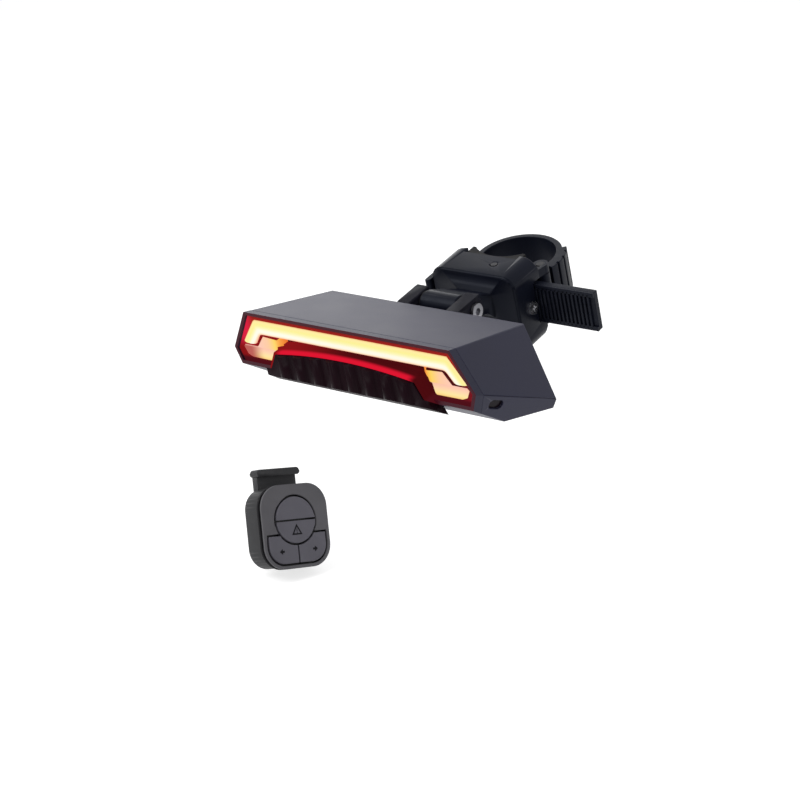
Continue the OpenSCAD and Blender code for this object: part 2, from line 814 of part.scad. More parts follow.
module lower_housing() {
  color(lamp_grey) lamp_frame() difference() {
    union() {
      intersection() {
        difference() {
          lamp_layer(0, bezel_depth, big);
          lamp_layer(wall, 0, big);
        }
        below_crease(0);
      }
      intersection() {
        lamp_layer(wall / 2, bezel_depth, big);
        below_crease(0);
        union() {
          housing_screw_bosses(boss_r);
          // Posts under the control board, and the cradle of the cell
          for (x = [cboard_x[0] + 2.4, cboard_x[1] - 2.4])
            translate([x, cboard_y[1] - 3, -lamp_h]) cylinder(r = cpost_r, h = cboard_z - seat_gap + lamp_h);
          for (x = [cell_x - cell_len / 3, cell_x + cell_len / 3])
            translate([x - 1, cell_y - cell_d / 2 - 1.5, -lamp_h]) cube([2, cell_d + 3, wall + cell_d / 3]);
        }
      }
    }
    // Groove for the seal
    intersection() {
      seal_ring(seat_gap / 2);
      difference() {
        below_crease(eps);
        below_crease(-seal_t);
      }
    }
    // The cell's own room in its cradle
    translate([cell_x - cell_len / 2 - 1, cell_y, floor_z + seat_gap + cell_d / 2]) rotate([0, 90, 0])
      cylinder(r = cell_d / 2 + seat_gap, h = cell_len + 2);
    // Screw holes and the seats of their heads
    housing_screw_holes(screw_r + seat_gap);
    for (p = screw_places)
      translate([p[0], p[1], -lamp_h - 1]) cylinder(r = cap_r + seat_gap, h = cap_depth + 1);
    translate([button_x, button_y, -lamp_h - 1]) cylinder(r = button_r + slide_gap, h = wall + 2);
    both_sides() laser_frame() translate([0, 0, -2 * wall]) linear_extrude(3 * wall) laser_slot(0);
  }
}

module housing_seal() {
  color(rubber_black) lamp_frame() intersection() {
    seal_ring(0);
    difference() {
      below_crease(-seat_gap / 2);
      below_crease(-seal_t + seat_gap / 2);
    }
  }
}

module housing_screws() {
  color(steel) lamp_frame() for (p = screw_places)
    translate([p[0], p[1], -lamp_h + cap_depth]) pan_screw(screw_r, screw_len, cap_r, cap_h);
}

// Front

module bar_outline() {
  low = bar_top - bar_h;
  polygon([
    [-bar_corner, bar_top], [bar_corner, bar_top], bar_end, bar_end - [bar_end_w, 0.3], [bar_inner, low],
    [-bar_inner, low], [bar_end_w - bar_end[0], bar_end[1] - 0.3], [-bar_end[0], bar_end[1]]
  ]);
}

// The narrower root of the bar, which passes through the reflector
module bar_root() {
  translate([-bar_inner, bar_top - bar_h + root_step])
    square([2 * bar_inner, bar_h - root_step - root_drop]);
}

// The right arrow: a slanting step above and a bar that points outwards below
module arrow_outline() {
  top = bar_top - bar_h - arrow_gap;
  notch = bar_end - [bar_end_w, 0.3];
  foot = notch[1] - arrow_gap;
  tip = [bar_end[0] + 0.4, foot - 0.7];
  polygon([
    [arrow_inner, top - 0.4], [bar_inner - 1, top], [notch[0] - 0.6, foot], [bar_end[0] - 0.2, foot],
    tip, [tip[0] - 1.2, arrow_low + 0.9], [tip[0] - 3, arrow_low + 0.1], [arrow_inner + 2.6, arrow_low],
    [arrow_inner + 2, arrow_low + 0.6], [arrow_inner + 1.4, foot - 0.4], [arrow_inner + 0.5, foot - 0.1]
  ]);
}

// Where the ramp at the arrow's inner end meets the reflector
module ramp_outline() {
  translate([arrow_inner - ramp_run, bar_top - bar_h - arrow_gap - 0.4 - ramp_h])
    square([ramp_run + 0.4, ramp_h]);
}

// The right arrow with the ramp at its inner end, which leads down to the reflector
module arrow_guide() {
  behind_face(lens_recess, guide_back) arrow_outline();
  difference() {
    behind_face(lens_recess, guide_back) ramp_outline();
    rotate([90 + face_lean, 0, 0]) rotate([90, 0, 0]) linear_extrude(big, center = true) polygon([
      [arrow_inner, -lens_recess], [arrow_inner - ramp_run, -reflector_front],
      [arrow_inner - 2 * ramp_run, -reflector_front], [arrow_inner - 2 * ramp_run, 1], [arrow_inner, 1]
    ]);
  }
}

// The dark opening between the bar and the lip, from arrow to arrow
module shade_outline() {
  difference() {
    translate([-arrow_inner - eps, grip_corner])
      square([2 * (arrow_inner + eps), bar_top - bar_h - grip_corner]);
    grip_outline(seat_gap + lip_t + lip_web);
  }
}

module arrow_outlines(extra) {
  for (side = [0, 1]) mirror([side, 0]) {
    offset(delta = extra) arrow_outline();
    offset(delta = extra) ramp_outline();
  }
}

module grip_outline(extra) {
  intersection() {
    translate([0, grip_top - grip_arch_r]) circle(grip_arch_r + extra, $fn = 256);
    polygon([for (p = [[-1, 0], [1, 0], [1, -grip_reach], [-1, -grip_reach]])
      [p[0] * (grip_w / 2 + grip_flare * (grip_corner - p[1]) + extra), p[1]]]);
  }
}

module front_bezel() {
  color(gloss_black) lamp_frame() difference() {
    lamp_layer(0, 0, bezel_depth);
    lamp_layer(bezel_w, -1, bezel_depth + 1);
    lamp_layer(lens_inset, lens_recess, bezel_depth + 1);
    behind_face(-1, bezel_depth + 1) grip_outline(lip_t + 2 * seat_gap);
  }
}

module lens() {
  color(lens_red) lamp_frame() difference() {
    union() {
      lamp_layer(lens_inset + seat_gap, lens_recess, bezel_depth);
      // Lip round the grip, as far down as the belly
      intersection() {
        behind_face(lip_gap - grip_rise, bezel_depth) grip_outline(seat_gap + lip_t);
        half_space(face_bottom, [180 - belly_slope, 0, 0], 0);
      }
    }
    behind_face(-grip_rise, bezel_depth + 1) grip_outline(seat_gap);
    behind_face(0, bezel_depth + 1) {
      offset(delta = seat_gap) bar_outline();
      arrow_outlines(seat_gap);
      shade_outline();
    }
  }
}

module light_bar() {
  color(bar_glow) lamp_frame() {
    behind_face(lens_recess, bezel_depth) bar_outline();
    behind_face(bezel_depth - eps, guide_back) bar_root();
  }
}

module left_arrow_guide() {
  color(amber) lamp_frame() mirror([1, 0, 0]) arrow_guide();
}

module right_arrow_guide() {
  color(amber) lamp_frame() arrow_guide();
}

module ribbed_grip() {
  color(black_plastic) lamp_frame() intersection() {
    union() {
      behind_face(-grip_rise, bezel_depth - seat_gap) grip_outline(0);
      intersection() {
        behind_face(-grip_rise - grip_rib_rise, 0) grip_outline(0);
        rotate([90 + face_lean, 0, 0])
          for (k = [-grip_ribs:grip_ribs - 1])
            translate([(k + 0.5) * grip_pitch, 0, grip_rise + grip_rib_rise - grip_rib_r]) rotate([90, 0, 0])
              cylinder(r = grip_rib_r, h = grip_reach);
      }
    }
    half_space(face_bottom, [180 - belly_slope, 0, 0], -grip_hang);
  }
  // Wide foot under the belly
  color(black_plastic) lamp_frame() difference() {
    intersection() {
      behind_face(-grip_rise, foot_depth)
        translate([-foot_half, -grip_reach]) square([2 * foot_half, grip_reach]);
      half_space(face_bottom, [180 - belly_slope, 0, 0], -grip_hang);
    }
    half_space(face_bottom, [180 - belly_slope, 0, 0], -seat_gap);
  }
}

module reflector() {
  color(gloss_black) lamp_frame() {
    difference() {
      lamp_layer(wall + seat_gap, reflector_front, reflector_back);
      behind_face(0, guide_back) {
        offset(delta = seat_gap) bar_root();
        arrow_outlines(seat_gap);
      }
    }
    behind_face(reflector_back - eps, board_front - seat_gap)
      for (p = post_places) translate(p) circle(cpost_r);
  }
}

module led_board() {
  color(board_green) lamp_frame() behind_face(board_front, board_back)
    translate([-board_half, board_low]) square([2 * board_half, board_top - board_low]);
}

module red_leds() {
  color(lens_red) lamp_frame() behind_face(board_front - led_t, board_front)
    for (k = [0:led_count - 1])
      translate([(k - (led_count - 1) / 2) * led_pitch, led_v]) square(led_size, center = true);
}

module amber_leds() {
  color(amber) lamp_frame() behind_face(board_front - led_t, board_front)
    for (u = amber_u, side = [-1, 1]) translate([side * u, amber_v]) square(amber_size, center = true);
}

// Inside the lamp

module battery() {
  color([0.2, 0.35, 0.6]) lamp_frame()
    translate([cell_x - cell_len / 2, cell_y, floor_z + seat_gap + cell_d / 2]) rotate([0, 90, 0]) {
      cylinder(r = cell_d / 2, h = cell_len - 1);
      translate([0, 0, cell_len - 1 - eps]) cylinder(r = cell_d / 5, h = 1 + eps);
    }
}

module control_board() {
  color(board_green) lamp_frame() translate([cboard_x[0], cboard_y[0], cboard_z])
    cube([cboard_x[1] - cboard_x[0], cboard_y[1] - cboard_y[0], board_t]);
}

module usb_socket() {
  color(steel) lamp_frame() difference() {
    translate([usb_x - usb_w / 2, cboard_y[1] - usb_len, usb_z - usb_h / 2]) cube([usb_w, usb_len, usb_h]);
    translate([usb_x - usb_w / 2 + 0.4, cboard_y[1] - usb_len + 1, usb_z - usb_h / 2 + 0.4])
      cube([usb_w - 0.8, usb_len, usb_h - 0.8]);
  }
}

module usb_cover() {
  color(rubber_black) lamp_frame() {
    translate([usb_x, lamp_depth + cover_proud, usb_z]) rotate([90, 0, 0])
      linear_extrude(cover_t) square(cover_size, center = true);
    // Round roll along the top edge, which the cover folds about
    across_lamp(usb_x - cover_size[0] / 2, usb_x + cover_size[0] / 2)
      translate(cover_hinge) circle(cover_t / 2);
    translate([usb_x, lamp_depth - cover_sink + seat_gap + eps, usb_z]) rotate([90, 0, 0])
      linear_extrude(plug_len) square(usb_hole - [1.2, 1.2], center = true);
  }
}

module power_button() {
  color(rubber_black) lamp_frame() translate([button_x, button_y, 0]) {
    translate([0, 0, -lamp_h - button_rise]) cylinder(r = button_r, h = wall + button_rise + seat_gap + eps);
    translate([0, 0, floor_z + seat_gap]) cylinder(r = button_r + 0.8, h = button_flange);
    translate([0, 0, floor_z + seat_gap + button_flange - eps])
      cylinder(r = 1.5, h = cboard_z - switch_drop - power_travel - seat_gap - floor_z - button_flange);
  }
}

module power_switch() {
  color(steel) lamp_frame() translate([button_x, button_y, cboard_z - switch_drop / 2])
    cube([switch_w, switch_w, switch_drop], center = true);
}

module laser_modules() {
  color(brass) lamp_frame() both_sides() laser_frame()
    translate([0, 0, -wall - slide_gap - laser_len]) difference() {
      cylinder(r = laser_r, h = laser_len);
      translate([0, 0, laser_len - 1]) cylinder(r = laser_r / 2, h = 2);
    }
}

module laser_windows() {
  color(gloss_black) lamp_frame() both_sides() laser_frame() translate([0, 0, -wall])
    linear_extrude(wall - window_sink) laser_slot(seat_gap);
}

// Remote

module remote_outline(inset) {
  rounded_outline(remote_w - 2 * inset, remote_h - 2 * inset, remote_corner - inset);
}

module round_outline(extra) {
  translate([0, round_v]) circle(round_d / 2 + extra);
}

// The two corner keys together, grown by extra
module keys_outline(extra) {
  difference() {
    intersection() {
      remote_outline(key_margin - extra);
      translate([-remote_w, -remote_h]) square([2 * remote_w, remote_h + key_top + extra]);
    }
    round_outline(groove - extra);
  }
}

// The half of the plane to the left of the middle groove, or above the round pair's groove
module left_half() {
  translate([-remote_w, -remote_h]) square([remote_w - groove / 2, 2 * remote_h]);
}

module upper_half() {
  translate([-remote_w, round_v + groove / 2]) square([2 * remote_w, remote_h]);
}

module remote_face() {
  color(remote_grey) remote_frame() difference() {
    on_remote(-face_t, 0) remote_outline(0);
    on_remote(-face_t - 1, -skin) remote_outline(skin);
    on_remote(-face_t, 1) {
      round_outline(groove);
      keys_outline(groove);
    }
    // Dark seam round the face's side
    on_remote(-seam_to, -seam_from) difference() {
      remote_outline(-1);
      remote_outline(seam_depth);
    }
  }
}

module remote_key() {
  color(remote_grey) remote_frame() on_remote(key_back, key_rise) children();
}

module remote_upper_button() {
  remote_key() intersection() {
    round_outline(0);
    upper_half();
  }
}

module remote_hazard_button() {
  remote_key() intersection() {
    round_outline(0);
    translate([0, 2 * round_v]) mirror([0, 1]) upper_half();
  }
}

module remote_left_button() {
  remote_key() intersection() {
    keys_outline(0);
    left_half();
  }
}

module remote_right_button() {
  remote_key() intersection() {
    keys_outline(0);
    mirror([1, 0]) left_half();
  }
}

module remote_case() {
  color(remote_grey) remote_frame() difference() {
    union() {
      on_remote(case_back, -face_t - shell_gap) remote_outline(case_inset);
      hull() {
        on_remote(case_back, case_back + eps) remote_outline(case_inset, $fn = 32);
        on_remote(-remote_depth, -remote_depth + eps) remote_outline(case_inset + case_step * 0.8, $fn = 32);
      }
      // Rim that fits inside the face
      on_remote(-face_t - shell_gap - eps, key_back - button_travel - slide_gap)
        remote_outline(skin + seat_gap);
      // Hook for the rubber band at the top, and the hook that the remote stands on
      translate([-hook_w / 2 + 1.2, remote_h / 2 - 4, hook_back - remote_depth])
        cube([hook_w - 2.4, 4 + hook_gap + hook_lip / 2, hook_neck]);
      translate([0, remote_h / 2 + hook_gap + hook_lip / 2, hook_back - remote_depth])
        linear_extrude(hook_neck + hook_front) rounded_outline(hook_w, hook_lip, hook_lip / 2 - eps);
      translate([-stand_half, stand_v, -remote_depth - stand_back])
        cube([2 * stand_half, stand_depth, stand_depth]);
    }
    on_remote(-remote_depth + skin, 0) remote_outline(skin + seat_gap + rim_t);
    on_remote(-remote_depth - eps, 0) circle(door_r + seat_gap);
  }
  color(remote_grey) remote_frame() on_remote(-remote_depth + skin - eps, rboard_front - board_t - seat_gap)
    for (p = rpost_places) translate(p) circle(rpost_r);
}

module remote_board() {
  color(board_green) remote_frame() on_remote(rboard_front - board_t, rboard_front)
    remote_outline(rboard_inset);
}

module remote_switches() {
  color(steel) remote_frame() on_remote(rboard_front, rboard_front + rswitch_t)
    for (p = rswitch_places) translate(p) circle(rswitch_r);
}

module remote_cell() {
  color(steel) remote_frame() on_remote(coin_back, coin_back + coin_t) circle(coin_r);
}

module remote_cell_door() {
  color(remote_grey) remote_frame() difference() {
    on_remote(-remote_depth, -remote_depth + skin) circle(door_r);
    on_remote(-remote_depth - eps, -remote_depth + skin / 2) square([door_r, 1.6], center = true);
  }
}

clamp_block();
saddle_pads();
strap();
strap_pin();
release_lever();
lever_pin();
lever_spring();
spring_screw();
lamp_fork();
fork_screws();
tilt_bolt();
tilt_nut();
friction_washers();
upper_housing();
lower_housing();
housing_seal();
housing_screws();
front_bezel();
lens();
light_bar();
left_arrow_guide();
right_arrow_guide();
ribbed_grip();
reflector();
led_board();
red_leds();
amber_leds();
battery();
control_board();
usb_socket();
usb_cover();
power_button();
power_switch();
laser_modules();
laser_windows();
remote_face();
remote_case();
remote_upper_button();
remote_hazard_button();
remote_left_button();
remote_right_button();
remote_board();
remote_switches();
remote_cell();
remote_cell_door();
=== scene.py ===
"""Bicycle turn signal lamp on its seat post clamp, with its handlebar remote: shapes, finishes and studio."""

import json
import logging
import math
from contextlib import contextmanager
from dataclasses import dataclass, field
from enum import Enum
from typing import Iterator, Optional, Sequence

import bmesh
import bpy
from bmesh.types import BMEdge, BMesh, BMFace, BMVert
from bpy.types import Material, Mesh, Node, NodeSocket, NodeTree
from mathutils import Matrix, Vector

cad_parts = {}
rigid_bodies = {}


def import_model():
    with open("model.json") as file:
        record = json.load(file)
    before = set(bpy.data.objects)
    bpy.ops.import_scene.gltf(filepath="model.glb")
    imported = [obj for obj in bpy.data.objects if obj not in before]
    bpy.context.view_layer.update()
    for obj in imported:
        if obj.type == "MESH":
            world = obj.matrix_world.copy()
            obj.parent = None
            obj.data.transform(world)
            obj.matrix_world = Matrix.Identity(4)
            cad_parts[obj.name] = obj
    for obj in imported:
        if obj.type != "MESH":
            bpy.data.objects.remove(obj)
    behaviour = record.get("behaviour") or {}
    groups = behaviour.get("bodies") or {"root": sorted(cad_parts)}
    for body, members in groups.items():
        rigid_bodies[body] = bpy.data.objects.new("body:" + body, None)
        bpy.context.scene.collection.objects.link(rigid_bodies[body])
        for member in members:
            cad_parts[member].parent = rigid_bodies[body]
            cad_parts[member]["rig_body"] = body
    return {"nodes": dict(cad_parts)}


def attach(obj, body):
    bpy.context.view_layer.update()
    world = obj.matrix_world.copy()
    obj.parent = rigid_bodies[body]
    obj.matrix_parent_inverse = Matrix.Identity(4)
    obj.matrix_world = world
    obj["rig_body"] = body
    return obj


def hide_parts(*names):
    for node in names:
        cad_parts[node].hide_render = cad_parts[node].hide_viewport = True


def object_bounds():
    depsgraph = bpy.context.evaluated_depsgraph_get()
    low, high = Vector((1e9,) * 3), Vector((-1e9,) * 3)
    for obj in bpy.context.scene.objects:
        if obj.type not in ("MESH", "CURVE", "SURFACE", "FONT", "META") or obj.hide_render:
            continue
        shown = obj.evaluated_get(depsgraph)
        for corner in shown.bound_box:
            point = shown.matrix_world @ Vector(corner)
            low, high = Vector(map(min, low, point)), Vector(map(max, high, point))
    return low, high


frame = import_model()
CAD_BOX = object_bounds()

log = logging.getLogger("turn_signal")
MM = 0.001
TINY = 1e-7
Spot = tuple[float, float, float]
Colour = tuple[float, float, float]
Point = tuple[float, float]
Station = tuple[Vector, Vector, float]
Finishes = dict[str, Material]
Rounded = dict[str, tuple[str, float]]
Plain = dict[str, Sequence[str]]


# Frames of the object


@dataclass(frozen=True)
class Axes:
    """A local frame: an origin and three directions, in the part's own frame."""

    origin: Vector
    right: Vector
    up: Vector
    out: Vector

    def at(self, right: float, up: float, out: float) -> Vector:
        """Gives a local point, in millimetres, as a point of the part in metres."""
        return (self.origin + self.right * right + self.up * up + self.out * out) * MM

    def matrix(self) -> Matrix:
        """Gives the turn and shift from this frame to the part's frame, in metres."""
        turn = Matrix((self.right, self.up, self.out)).transposed().to_4x4()
        return Matrix.Translation(self.origin * MM) @ turn


def face_axes(origin: Spot, lean: float, turn: float = 0.0, roll: float = 0.0) -> Axes:
    """Gives the frame of a face: right, up the face, and out of it.

    Args:
        origin: The frame's origin in millimetres.
        lean: How far the face leans to its front at the top, in degrees.
        turn: Turn about the vertical in degrees.
        roll: Sideways roll in degrees.

    Returns:
        The frame.
    """
    turned = Matrix.Identity(3)
    for angle, axis in ((turn, "Z"), (90 + lean, "X"), (roll, "Z")):
        turned = turned @ Matrix.Rotation(math.radians(angle), 3, axis)
    return Axes(Vector(origin), *(column.copy() for column in turned.col))


# The seat post at the strap's middle, the lamp's front at the middle of its top edge, and the remote's face
POST_AXES = face_axes((0, 0, 0), 18.4)
LAMP_AXES = face_axes((0, -99.943, 0.013), 15.0)
REMOTE_AXES = face_axes((-137.4, 35.8, -134.7), -19.2, 78.0, -8.4)


class Face(Enum):
    """The two faces that finishes are measured from."""

    LAMP = "lamp_place"
    REMOTE = "remote_place"

    def axes(self) -> Axes:
        """Gives the face's frame."""
        return LAMP_AXES if self is Face.LAMP else REMOTE_AXES


# Shader tools


class Sketch:
    """Adds nodes to a tree and links them, with few words."""

    def __init__(self, tree: NodeTree) -> None:
        """Takes the tree that the nodes go into."""
        self.tree = tree

    def put(self, spot: NodeSocket, value: object) -> None:
        """Links a socket to an input, or sets the input.

        Args:
            spot: The input.
            value: A socket, number, colour or other value.
        """
        if isinstance(value, NodeSocket):
            self.tree.links.new(value, spot)
        elif spot.type == "RGBA" and len(value) == 3:
            spot.default_value = (*value, 1)
        else:
            spot.default_value = value

    def add(self, kind: str, **values: object) -> Node:
        """Adds a node and sets its properties and input values.

        Args:
            kind: The node's type name.
            values: Properties by name, and inputs as in_NAME or in_NUMBER.

        Returns:
            The new node.
        """
        made = self.tree.nodes.new(kind)
        for key, value in values.items():
            if key.startswith("in_"):
                name = key[3:].replace("_", " ")
                self.put(made.inputs[int(name) if name.isdigit() else name], value)
            else:
                setattr(made, key, value)
        return made

    def maths(self, operation: str, *values: object, clamp: bool = False) -> NodeSocket:
        """Adds a maths node with these sockets or numbers, whose result may be kept between 0 and 1."""
        inputs = {f"in_{i}": value for i, value in enumerate(values)}
        return self.add("ShaderNodeMath", operation=operation, use_clamp=clamp, **inputs).outputs[0]

    def ramp(self, value: NodeSocket, stops: Sequence[tuple[float, Colour]]) -> NodeSocket:
        """Adds a colour ramp.

        Args:
            value: The socket that the ramp reads.
            stops: Places and colours.

        Returns:
            The colour's socket.
        """
        made = self.add("ShaderNodeValToRGB", in_0=value)
        band = made.color_ramp.elements
        while len(band) < len(stops):
            band.new(0.5)
        for element, (place, colour) in zip(band, stops):
            element.position = place
            element.color = (*colour, 1)
        return made.outputs[0]

    def step(self, value: NodeSocket, start: float, end: float, kind: str = "SMOOTHSTEP") -> NodeSocket:
        """Rises from 0 at the start value to 1 at the end value, which may be the lower of the two."""
        made = self.add("ShaderNodeMapRange", interpolation_type=kind, in_0=value, in_1=start, in_2=end)
        return made.outputs[0]

    def mix(self, factor: NodeSocket, first: object, second: object) -> NodeSocket:
        """Mixes two colours, or sockets: the first at a factor of 0, the second at 1."""
        return self.add("ShaderNodeMix", data_type="RGBA", in_0=factor, in_6=first, in_7=second).outputs[2]


def blank(owner: bpy.types.ID) -> Sketch:
    """Empties the node tree of a material or world.

    Args:
        owner: The material or world.

    Returns:
        A sketch for its tree.
    """
    owner.use_nodes = True
    owner.node_tree.nodes.clear()
    return Sketch(owner.node_tree)


def new_group(name: str, numbers: dict[str, float], outputs: Sequence[str]) -> Sketch:
    """Makes a shader group that reads a place and some numbers.

    Args:
        name: The group's name.
        numbers: Names and defaults of its number inputs, which follow the place.
        outputs: Names of its number outputs.

    Returns:
        A sketch for the group's tree.
    """
    tree = bpy.data.node_groups.new(name, "ShaderNodeTree")
    tree.interface.new_socket("Vector", in_out="INPUT", socket_type="NodeSocketVector")
    for label, value in numbers.items():
        made = tree.interface.new_socket(label, in_out="INPUT", socket_type="NodeSocketFloat")
        made.default_value = value
    for label in outputs:
        tree.interface.new_socket(label, in_out="OUTPUT", socket_type="NodeSocketFloat")
    return Sketch(tree)


class SharedEffects:
    """Shader groups that several finishes use."""

    CELL_SHARE = 0.6
    PATCH_SCALE = 55.0
    PATCH_RUN = (0.35, 0.65)
    BREAK_RUN = (0.4, 0.7)

    def __init__(self) -> None:
        """Builds the groups once."""
        self.grain = self.build_grain()
        self.wear = self.build_wear()
        self.place = {face: self.build_place(face) for face in Face}

    def build_grain(self) -> NodeTree:
        """Builds the fine grain of a mould, with slow changes of tone across the piece.

        Returns:
            A group with Height, Tone and Patch outputs.
        """
        pen = new_group("mould_grain", {"Scale": 2600}, ["Height", "Tone", "Patch"])
        source = pen.add("NodeGroupInput").outputs
        cells = pen.add("ShaderNodeTexVoronoi", feature="SMOOTH_F1", in_Vector=source[0], in_Scale=source[1])
        fine = pen.add("ShaderNodeTexNoise", in_Vector=source[0], in_Scale=source[1], in_Detail=3.0)
        slow = pen.add("ShaderNodeTexNoise", in_Vector=source[0], in_Scale=self.PATCH_SCALE, in_Detail=4.0)
        height = pen.maths("ADD", pen.maths("MULTIPLY", cells.outputs[0], self.CELL_SHARE), fine.outputs[0])
        patch = pen.step(slow.outputs[0], *self.PATCH_RUN, "LINEAR")
        pen.add("NodeGroupOutput", in_0=height, in_1=fine.outputs[0], in_2=patch)
        return pen.tree

    def build_wear(self) -> NodeTree:
        """Builds the rub along outer edges, broken up by noise, which also serves as a painted highlight on
        those edges.

        Returns:
            A group with a Mask output.
        """
        pen = new_group("edge_rub", {"Start": 0.53, "Scale": 300, "Gain": 14}, ["Mask"])
        source = pen.add("NodeGroupInput").outputs
        shape = pen.add("ShaderNodeNewGeometry")
        noise = pen.add("ShaderNodeTexNoise", in_Vector=source[0], in_Scale=source[2], in_Detail=5.0)
        edge = pen.maths("SUBTRACT", shape.outputs["Pointiness"], source[1])
        edge = pen.maths("MULTIPLY", edge, source[3], clamp=True)
        broken = pen.step(noise.outputs[0], *self.BREAK_RUN, "LINEAR")
        pen.add("NodeGroupOutput", in_0=pen.maths("MULTIPLY", edge, broken))
        return pen.tree

    def build_place(self, face: Face) -> NodeTree:
        """Builds the place on a face, in millimetres.

        Args:
            face: The face.

        Returns:
            A group with Across, Up and Out outputs.
        """
        pen, axes = new_group(face.value, {}, ["Across", "Up", "Out"]), face.axes()
        source = pen.add("NodeGroupInput").outputs
        moved = pen.add("ShaderNodeVectorMath", operation="SUBTRACT", in_0=source[0], in_1=axes.origin * MM)
        result = pen.add("NodeGroupOutput")
        for i, direction in enumerate((axes.right, axes.up, axes.out)):
            made = pen.add(
                "ShaderNodeVectorMath", operation="DOT_PRODUCT", in_0=moved.outputs[0], in_1=direction / MM
            )
            pen.put(result.inputs[i], made.outputs["Value"])
        return pen.tree


class Bench:
    """Makes a material's bare tree: a Principled shader on the output, and object coordinates."""

    effects: Optional[SharedEffects] = None

    def __init__(self, name: str) -> None:
        """Starts a material.

        Args:
            name: The material's name.
        """
        self.material = bpy.data.materials.new(name)
        self.pen = blank(self.material)
        self.shader = self.pen.add("ShaderNodeBsdfPrincipled")
        self.pen.add("ShaderNodeOutputMaterial", in_0=self.shader.outputs[0])
        self.place = self.pen.add("ShaderNodeTexCoord").outputs["Object"]

    def feed(self, **values: object) -> None:
        """Sets or links the shader's inputs, named with low lines for spaces."""
        for name, value in values.items():
            self.pen.put(self.shader.inputs[name.replace("_", " ")], value)

    def group(self, tree: NodeTree, **values: object) -> Node:
        """Places a shared group that reads the object's coordinates, with its other inputs as in_NAME."""
        return self.pen.add("ShaderNodeGroup", node_tree=tree, in_Vector=self.place, **values)

    def grain(self, scale: float) -> Node:
        """Places the mould's grain."""
        return self.group(self.effects.grain, in_Scale=scale)

    def measure(self, face: Face) -> bpy.types.bpy_prop_collection:
        """Places the measures on a face, and gives their sockets by name."""
        return self.group(self.effects.place[face]).outputs

    def bump(self, height: NodeSocket, strength: float, distance: float) -> None:
        """Turns a height into the shader's normal, by a strength and a depth in metres."""
        made = self.pen.add("ShaderNodeBump", in_Strength=strength, in_Distance=distance, in_Height=height)
        self.feed(Normal=made.outputs[0])


# Finishes


@dataclass(frozen=True)
class PaintedBand:
    """A stretch of depth behind or before a face, in millimetres, with a colour and a glow painted on it:
    painted shade or painted light.
    """

    face: Face
    start: float
    end: float
    colour: Colour
    glow: Colour = (0.0, 0.0, 0.0)
    soft: float = 0.08

    def mask(self, bench: Bench) -> NodeSocket:
        """Gives the stretch as a mask with soft edges.

        Args:
            bench: The material's bench.

        Returns:
            The mask's socket.
        """
        out = bench.measure(self.face)["Out"]
        rise = bench.pen.step(out, self.start - self.soft, self.start + self.soft)
        fall = bench.pen.step(out, self.end + self.soft, self.end - self.soft)
        return bench.pen.maths("MULTIPLY", rise, fall)


@dataclass(frozen=True)
class Moulded:
    """A moulded plastic or rubber with fine grain, uneven gloss, outer edges lightened by rub and by a
    painted highlight, and where given a painted glow or a painted band of shade or light.
    """

    name: str
    colour: Colour
    roughness: float
    grain: float = 2600.0
    depth: float = 0.00004
    strength: float = 0.25
    # How strongly outer edges are lightened: part rub, part painted highlight.
    rub: float = 0.35
    uneven: float = 0.08
    vary: float = 0.15
    specular: float = 0.2
    tint: Colour = (1.0, 1.0, 1.0)
    # A constant painted glow: light falling on the piece, painted as emission.
    glow: Colour = (0.0, 0.0, 0.0)
    # A band of painted shade or painted light.
    band: Optional[PaintedBand] = None
    # Colour and gloss along those edges, rub and painted highlight together.
    worn_gain: float = 1.9
    worn_lift: float = 0.02
    worn_gloss: float = 0.25

    def material(self) -> Material:
        """Builds the finish.

        Returns:
            The material.
        """
        bench = Bench(self.name)
        pen, grain = bench.pen, bench.grain(self.grain)
        dark = tuple(c * (1 - self.vary) for c in self.colour)
        light = tuple(min(1.0, c * (1 + self.vary)) for c in self.colour)
        # Edges lighter and glossier: part rub, part painted highlight.
        rub_and_highlight_colour = tuple(min(1.0, c * self.worn_gain + self.worn_lift) for c in self.colour)
        rub_and_highlight_mask = pen.maths("MULTIPLY", bench.group(bench.effects.wear).outputs["Mask"], self.rub)
        shown = pen.mix(rub_and_highlight_mask, pen.mix(grain.outputs["Patch"], dark, light), rub_and_highlight_colour)
        # Painted glow.
        lit = self.glow
        # Paints the band's shade or light over the colour, and its glow.
        if self.band:
            mask = self.band.mask(bench)
            shown = pen.mix(mask, shown, self.band.colour)
            lit = pen.mix(mask, lit, self.band.glow)
        least = self.roughness - self.uneven / 2
        rough = pen.maths("MULTIPLY_ADD", grain.outputs["Patch"], self.uneven, least)
        bench.feed(
            Base_Color=shown,
            Emission_Color=lit,
            Emission_Strength=1.0,
            Roughness=pen.maths("SUBTRACT", rough, pen.maths("MULTIPLY", rub_and_highlight_mask, self.worn_gloss)),
            Specular_IOR_Level=self.specular,
            Specular_Tint=self.tint,
        )
        bench.bump(grain.outputs["Height"], self.strength, self.depth)
        return bench.material


@dataclass(frozen=True)
class Plated:
    """A turned or plated metal with fine brushing and faint stains."""

    name: str
    colour: Colour
    roughness: float
    grain: float = 1800.0
    stain: float = 0.75
    uneven: float = 0.2
    strength: float = 0.1
    depth: float = 0.00002

    def material(self) -> Material:
        """Builds the finish.

        Returns:
            The material.
        """
        bench = Bench(self.name)
        pen, grain = bench.pen, bench.grain(self.grain)
        stained = tuple(c * self.stain for c in self.colour)
        bench.feed(
            Base_Color=pen.mix(grain.outputs["Patch"], self.colour, stained),
            Roughness=pen.maths("MULTIPLY_ADD", grain.outputs["Tone"], self.uneven, self.roughness),
            Metallic=1.0,
        )
        bench.bump(grain.outputs["Height"], self.strength, self.depth)
        return bench.material


